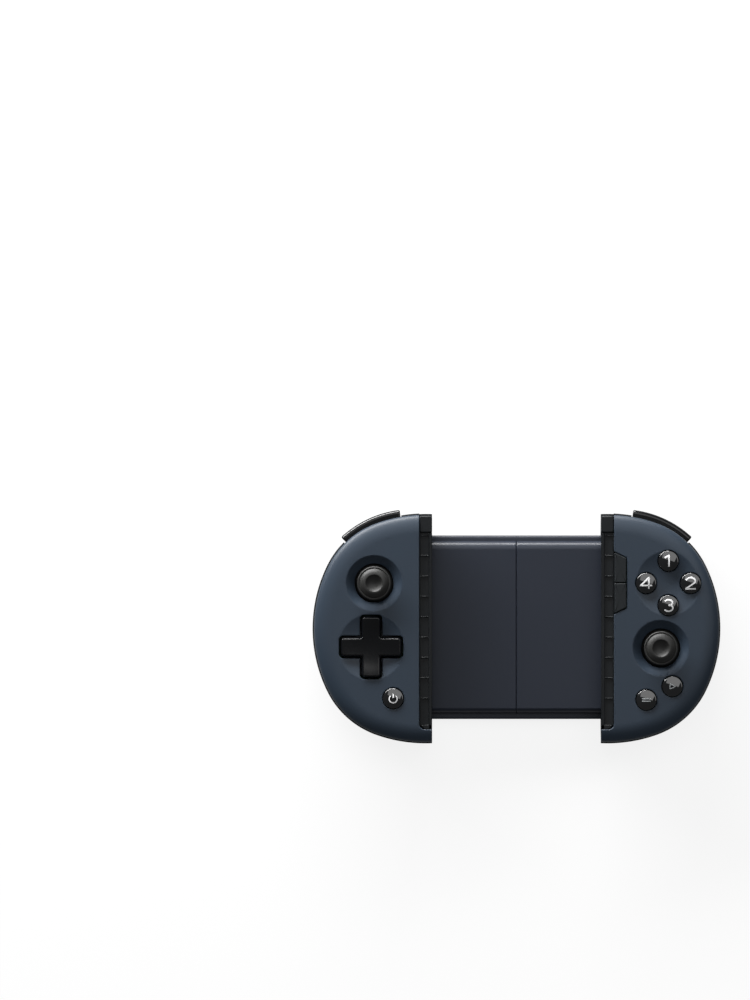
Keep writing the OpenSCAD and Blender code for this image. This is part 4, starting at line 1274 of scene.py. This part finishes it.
@dataclass(frozen=True)
class Jaw:
    """A jaw: a wall with a lip, a ribbed trough along the lip, and a plain block at its upper end."""

    side: Side
    lip_in: float = 38.0
    out: float = 43.7
    wall: float = 2.1
    low: float = -45.3
    block_low: float = 43.0
    top_y: float = 50.7
    lip_z: float = 22.6
    lip_t: float = 3.0
    base_z: float = 9.4
    chamfer: float = 2.4
    rim_w: float = 1.6
    back_w: float = 0.5
    trough_deep: float = 0.6
    rib_n: int = 9
    rib_pitch: float = 9.15
    rib_first: float = 1.2
    rib_half: float = 0.32

    def parts(self) -> list[Part]:
        """The jaw's plates and ribs.

        Each row of the list is a plate: its plan, its corners' radius, its underside, its top and its
        fillet.

        Returns:
            The parts, in handle coordinates.
        """
        inner, outer, low, high = self.lip_in, self.out, self.low, self.block_low
        under, trough_z, top = self.lip_z - self.lip_t, self.lip_z - self.trough_deep, self.lip_z
        x0, x1, cut = inner + self.rim_w, outer - self.back_w, outer - self.chamfer
        foot = [(inner, low), (cut, low), (outer, low + self.chamfer), (outer, high), (inner, high)]
        end = [(inner, low), (cut, low), (x1, low + 1.8), (inner, low + 2.2)]
        plates = [
            (foot, 0.4, under, trough_z, 0.05),
            (rectangle(inner, x0, low, high), 0.25, under, top, 0.3),
            (rectangle(x1, outer, low + 2.6, high), 0.1, under, top, 0.15),
            (end, 0.3, under, top, 0.25),
        ]
        for k in range(self.rib_n):
            y = high - self.rib_first - k * self.rib_pitch
            plan = rectangle(x0 - 0.1, x1 + 0.1, y - self.rib_half, y + self.rib_half)
            plates.append((plan, 0.1, trough_z - 0.3, top - 0.1, 0.2))
        wall = rectangle(outer - self.wall, outer, low + 2.7, high + 1)
        end_block = rectangle(inner, outer, high, self.top_y)
        plates.append((wall, 0.2, self.base_z, under + 0.2, 0.1))
        plates.append((end_block, 0.8, self.base_z, top + 0.3, 0.7))
        return [part for plate in plates for part in slab(*plate)]

    def dress(self, plastic: bpy.types.Material) -> None:
        """Makes the jaw's piece."""
        side, parts = self.side, mirrored(self.parts(), self.side)
        piece = make_piece(side.node("jaw_strip"), parts, side.body, plastic)
        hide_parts(side.node("jaw"))


@dataclass(frozen=True)
class Sleeve:
    """One telescoping sleeve of the bridge: a cover with rolled edges over a tray with a ledge each side.

    An open end is given by its X and the radius of the edge there.
    """

    side: Side
    top_z: float = 9.4
    skirt_z: float = 6.0
    back_z: float = 2.4
    wall: float = 1.3
    room: Spot = (-37.3, 38.2)
    cover_y: Spot = (-38.2, 39.3)
    cover_drop: float = 3.3
    cover_rolls: Spot = (2.4, 3.8)
    cover_end: Spot = (0.1, 0.35)
    tray_y: Spot = (-40.9, 41.8)
    tray_radii: tuple[float, ...] = (0, 0.8, 1.6, 1.6, 1.2, 0)
    tray_end: Spot = (0.01, 0.06)
    x1: float = 44.0

    def cover_profile(self) -> Array:
        """Profile from the upper skirt over the top to the lower one, with elliptical rolls."""
        a = np.linspace(0, np.pi / 2, 16)
        rise = self.top_z - self.cover_drop * (1 - np.sin(a))
        low, top = self.cover_y
        upper = np.stack([top - self.cover_rolls[1] * (1 - np.cos(a)), rise], -1)
        lower = np.stack([low + self.cover_rolls[0] * (1 - np.cos(a)), rise], -1)[::-1]
        flat = [(upper[-1, 0] - 0.1, self.top_z), (lower[0, 0] + 0.1, self.top_z)]
        return np.concatenate([[(top, self.skirt_z)], upper, flat, lower, [(low, self.skirt_z)]])

    def tray_profile(self) -> Array:
        """Profile from the upper ledge round the back to the lower one."""
        ledge = self.skirt_z
        low, high, high_in, low_in = rectangle(self.tray_y[0], self.tray_y[1], self.back_z, ledge)
        corners = [(self.room[0], ledge), low_in, low, high, high_in, (self.room[1], ledge)]
        return rounded_path(corners, self.tray_radii, False, 0.3)[0]

    def shell(self, outer: Array, inner_z: Array, x0: float, edge: float) -> list[Part]:
        """An open shell: its outside carried along X, its inside, and the rim at its open end.

        Args:
            outer: Profile of the outside.
            inner_z: Heights of the inside, point by point.
            x0: Open end.
            edge: Radius of the edge there.

        Returns:
            The three surfaces.
        """
        outside = bar_along_x(outer, x0, self.x1, edge)
        inner = np.stack([np.clip(outer[:, 0], *self.room), inner_z], -1)
        near, far = (np.insert(inner, 0, x, axis=1) for x in (x0, self.x1))
        rim = np.stack([outside[0][0][: len(outer)], near])
        return outside + [grid_part(rim, flip=True), grid_part(np.stack([near, far]), flip=True)]

    def dress(self, satin: bpy.types.Material, dark: bpy.types.Material) -> None:
        """Makes the sleeve's two pieces.

        Args:
            satin: Finish of the cover.
            dark: Finish of the tray.
        """
        side, cover, tray = self.side, self.cover_profile(), self.tray_profile()
        top = self.shell(cover, np.minimum(cover[:, 1], self.top_z - self.wall), *self.cover_end)
        base = self.shell(tray, np.maximum(tray[:, 1], self.back_z + self.wall), *self.tray_end)
        top, base = mirrored(top, side), mirrored(base, side)
        piece = make_piece(side.node("sleeve_cover"), top, side.body, satin)
        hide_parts(side.node("bridge_cover"))
        piece = make_piece(side.node("sleeve_tray"), base, side.body, dark)
        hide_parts(side.node("bridge_tray"))


# Studio


@dataclass(frozen=True)
class SoftBox:
    """A soft box that faces the object.

    Its azimuth is in degrees from +X towards +Y, and its polar angle in degrees down from straight above.
    Its distance and size are in metres. Its radiance is the brightness of its face, where 1 is white.
    """

    name: str
    azimuth: float
    polar: float
    far: float
    size: Spot
    radiance: float
    aim_z: float = 0.02

    def hang(self) -> None:
        """Adds the lamp, unseen by the camera."""
        data = bpy.data.lights.new(self.name, "AREA")
        data.shape = "RECTANGLE"
        data.size, data.size_y = self.size
        data.energy = self.radiance * math.pi * self.size[0] * self.size[1]
        lamp = bpy.data.objects.new(self.name, data)
        a, p = math.radians(self.azimuth), math.radians(self.polar)
        way = Vector((math.sin(p) * math.cos(a), math.sin(p) * math.sin(a), math.cos(p)))
        lamp.location = way * self.far + Vector((0, 0, self.aim_z))
        lamp.rotation_euler = (-way).to_track_quat("-Z", "Y").to_euler()
        lamp.visible_camera = False
        bpy.context.scene.collection.objects.link(lamp)


@dataclass(frozen=True)
class Studio:
    """A pale floor, soft boxes and a camera straight above, as the object was photographed."""

    scale_mm: float = 0.45
    offset_px: Spot = (141.5, 128.4)
    frame_px: int = 1000
    rim_z: float = 15.0
    lens: float = 600.0
    sensor: float = 36.0
    floor_half: float = 6.0
    floor_z: float = -0.0002
    paper: str = "#7c7c7c"
    paper_lift: float = 0.85
    mirror_share: float = 0.3
    surround: str = "#f2f4f6"
    surround_level: float = 0.1
    boxes: tuple[SoftBox, ...] = (
        SoftBox("overhead_box", 72, 26, 2.5, (2.8, 1.85), 1.15),
        SoftBox("upper_strip", 113, 77, 0.9, (1.1, 0.19), 35),
    )

    def camera(self) -> None:
        """Places the camera: its distance gives the photograph's scale at the handles' rim."""
        data = bpy.data.cameras.new("camera")
        data.lens = self.lens
        data.sensor_width = self.sensor
        camera = bpy.data.objects.new("camera", data)
        far = self.lens * self.frame_px * self.scale_mm / self.sensor
        x = -self.offset_px[0] * self.scale_mm
        y = self.offset_px[1] * self.scale_mm + CENTRE_Y
        camera.location = Vector((x, y, self.rim_z + far)) * MM
        bpy.context.scene.collection.objects.link(camera)
        bpy.context.scene.camera = camera

    def floor(self) -> None:
        """Lays the pale floor: white to the camera, dimmer in reflections, with a soft shadow."""
        mesh = bpy.data.meshes.new("floor")
        corners = rectangle(-self.floor_half, self.floor_half, -self.floor_half, self.floor_half)
        mesh.from_pydata([(x, y, self.floor_z) for x, y in corners], [], [(0, 1, 2, 3)])
        material, tree = new_material("pale_paper")
        path = add_node(tree, "ShaderNodeLightPath").outputs

        def greater(a: bpy.types.NodeSocket, b: bpy.types.NodeSocket) -> bpy.types.NodeSocket:
            """The greater of two values."""
            return add_node(tree, "ShaderNodeMath", {"operation": "MAXIMUM"}, {0: a, 1: b}).outputs[0]

        def scaled(a: bpy.types.NodeSocket, by: float) -> bpy.types.NodeSocket:
            """A value times a number."""
            return add_node(tree, "ShaderNodeMath", {"operation": "MULTIPLY", 1: by}, {0: a}).outputs[0]

        mirror = greater(path["Is Glossy Ray"], path["Is Transmission Ray"])
        seen = greater(path["Is Camera Ray"], scaled(mirror, self.mirror_share))
        shader = add_node(
            tree,
            "ShaderNodeBsdfPrincipled",
            {
                "Base Color": linear(self.paper),
                "Roughness": 0.9,
                "Emission Color": (1, 1, 1, 1),
                "Specular IOR Level": 0.0,
            },
            {"Emission Strength": scaled(seen, self.paper_lift)},
        )
        add_node(tree, "ShaderNodeOutputMaterial", None, {"Surface": shader.outputs[0]})
        mesh.materials.append(material)
        floor = bpy.data.objects.new("floor", mesh)
        bpy.context.scene.collection.objects.link(floor)

    def world(self) -> None:
        """Sets an even dim surround."""
        world = bpy.data.worlds.new("surround")
        bpy.context.scene.world = world
        world.use_nodes = True
        background = world.node_tree.nodes["Background"]
        background.inputs["Color"].default_value = linear(self.surround)
        background.inputs["Strength"].default_value = self.surround_level

    def build(self) -> None:
        """Builds the studio."""
        bpy.context.scene.view_settings.view_transform = "Standard"
        self.camera()
        self.floor()
        self.world()
        for box in self.boxes:
            box.hang()


def left_handle() -> Handle:
    """The handle with the upper stick and the cross pad."""
    stick = STICK_AT[Side.LEFT]
    handle = Handle(Side.LEFT, [stick_bowl(*stick), shallow_dish(*CROSS_AT, across=29.6)], [])
    size, corner_r, inner_r = (29.0, 10.2), 2.0, 0.3
    edge = rounded_path(cross_corners(*CROSS_AT, *size), cross_radii(corner_r, inner_r), True, 0.3)
    cross = Hole(lambda u, v: cross_gap(u - CROSS_AT[0], v - CROSS_AT[1], *size, corner_r), edge)
    home = round_hole(*HOME_AT, BUTTON_HOLE_R)
    handle.holes = [stick_hole(*stick), cross, home, jaw_hole(handle, None)]
    return handle


def right_handle() -> Handle:
    """The handle with the four face buttons and the lower stick."""
    stick = STICK_AT[Side.RIGHT]
    handle = Handle(Side.RIGHT, [stick_bowl(*stick), shallow_dish(*FACE_AT, across=29.0)], [])
    spots = [face_spot(node) for node in FACE_WAYS] + [UPPER_MENU_AT, LOWER_MENU_AT]
    buttons = [round_hole(*spot, BUTTON_HOLE_R) for spot in spots]
    handle.holes = [stick_hole(*stick), *buttons, jaw_hole(handle, SideNotch())]
    return handle


def stick_bowl(x: float, y: float) -> Dish:
    """The deep bowl round a thumbstick."""
    return Dish(x, y, ball_r=17.6, ball_z=36.39, blend=0.2)


def stick_hole(x: float, y: float) -> Hole:
    """The hole in a bowl that the stick's dome fills."""
    return round_hole(x, y, r=8.81, round_over=0.25)


def shallow_dish(x: float, y: float, across: float) -> Dish:
    """A shallow dish of a given width at the face: the ball through its rim and its lowest point."""
    deep = 1.5
    ball = ((across / 2) ** 2 + deep**2) / (2 * deep)
    return Dish(x, y, ball, FACE_Z - deep + ball, blend=0.06)


def dress_solids(
    nodes: dict[str, bpy.types.Object], finishes: Sequence[tuple[bpy.types.Material, tuple[str, ...]]]
) -> None:
    """Gives each solid that stays in view its finish.

    Args:
        nodes: The solids.
        finishes: Each material, with the endings of the names of the solids that have it.
    """
    for name, solid in nodes.items():
        for material, endings in finishes:
            if name.endswith(endings):
                solid.data.materials.clear()
                solid.data.materials.append(material)


def main() -> None:
    """Builds the studio and every piece."""
    logging.basicConfig(level=logging.INFO, format="%(name)s %(message)s")
    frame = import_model()
    Studio().build()
    slate, charcoal, jaw, sleeve, tray = (f.build() for f in (SLATE, CHARCOAL, JAW, SLEEVE, TRAY))
    gloss, cross, cap, ink, faint = (f.build() for f in (GLOSS, CROSS, CAP, INK, FAINT_INK))
    steel, green, silicone, rubber = (f.build() for f in (STEEL, SOLDER_MASK, SILICONE, RUBBER))
    module, acetal, film, foil = (f.build() for f in (MODULE, ACETAL, FILM, FOIL))
    left_handle().dress(slate, charcoal)
    right_handle().dress(slate, charcoal)
    for side in Side:
        Thumbstick(side).dress(cap)
    CrossPad().dress(cross)
    RoundButton(
        "home_button", Side.LEFT, HOME_AT, Mark.POWER, mark_half=2.1, mark_wide=1.0, stroke=0.5
    ).dress(gloss, ink)
    signs = {"north": Mark.ONE, "east": Mark.TWO, "south": Mark.THREE, "west": Mark.FOUR}
    for name, mark in signs.items():
        node = f"{name}_button"
        RoundButton(node, Side.RIGHT, face_spot(node), mark).dress(gloss, ink)
    RoundButton(
        "upper_menu_button", Side.RIGHT, UPPER_MENU_AT, Mark.RUN, mark_half=1.5, mark_wide=1.2, stroke=0.4
    ).dress(gloss, faint)
    RoundButton(
        "lower_menu_button", Side.RIGHT, LOWER_MENU_AT, Mark.BAR, mark_half=1.5, mark_wide=1.5, stroke=0.4
    ).dress(gloss, faint)
    for side in Side:
        ShoulderKey(
            side.node("bumper"), side, (46.9, 83.27), inside=5.0, proud=3.2, z0=11.8, z1=17.2, crown=0.1
        ).dress(cross)
        ShoulderKey(
            side.node("trigger"), side, (46.942, 82.87), inside=6.8, proud=2.7, z0=3.0, z1=11.2, crown=0.5
        ).dress(cross)
        Jaw(side).dress(jaw)
        Sleeve(side).dress(sleeve, tray)
    for key in SIDE_KEYS:
        key.dress(charcoal)
    dress_solids(
        frame["nodes"],
        (
            (charcoal, ("rear_shell",)),
            (tray, ("slide_tray", "slide_lid")),
            (rubber, ("jaw_pad",)),
            (steel, ("springs", "screws", "trigger_pin", "stick_shaft", "charge_socket", "cross_ball")),
            (green, ("board",)),
            (silicone, ("membrane",)),
            (foil, ("battery",)),
            (module, ("stick_module",)),
            (acetal, ("stick_ring", "cross_post")),
            (film, ("ribbon",)),
        ),
    )


if __name__ == "__main__":
    main()
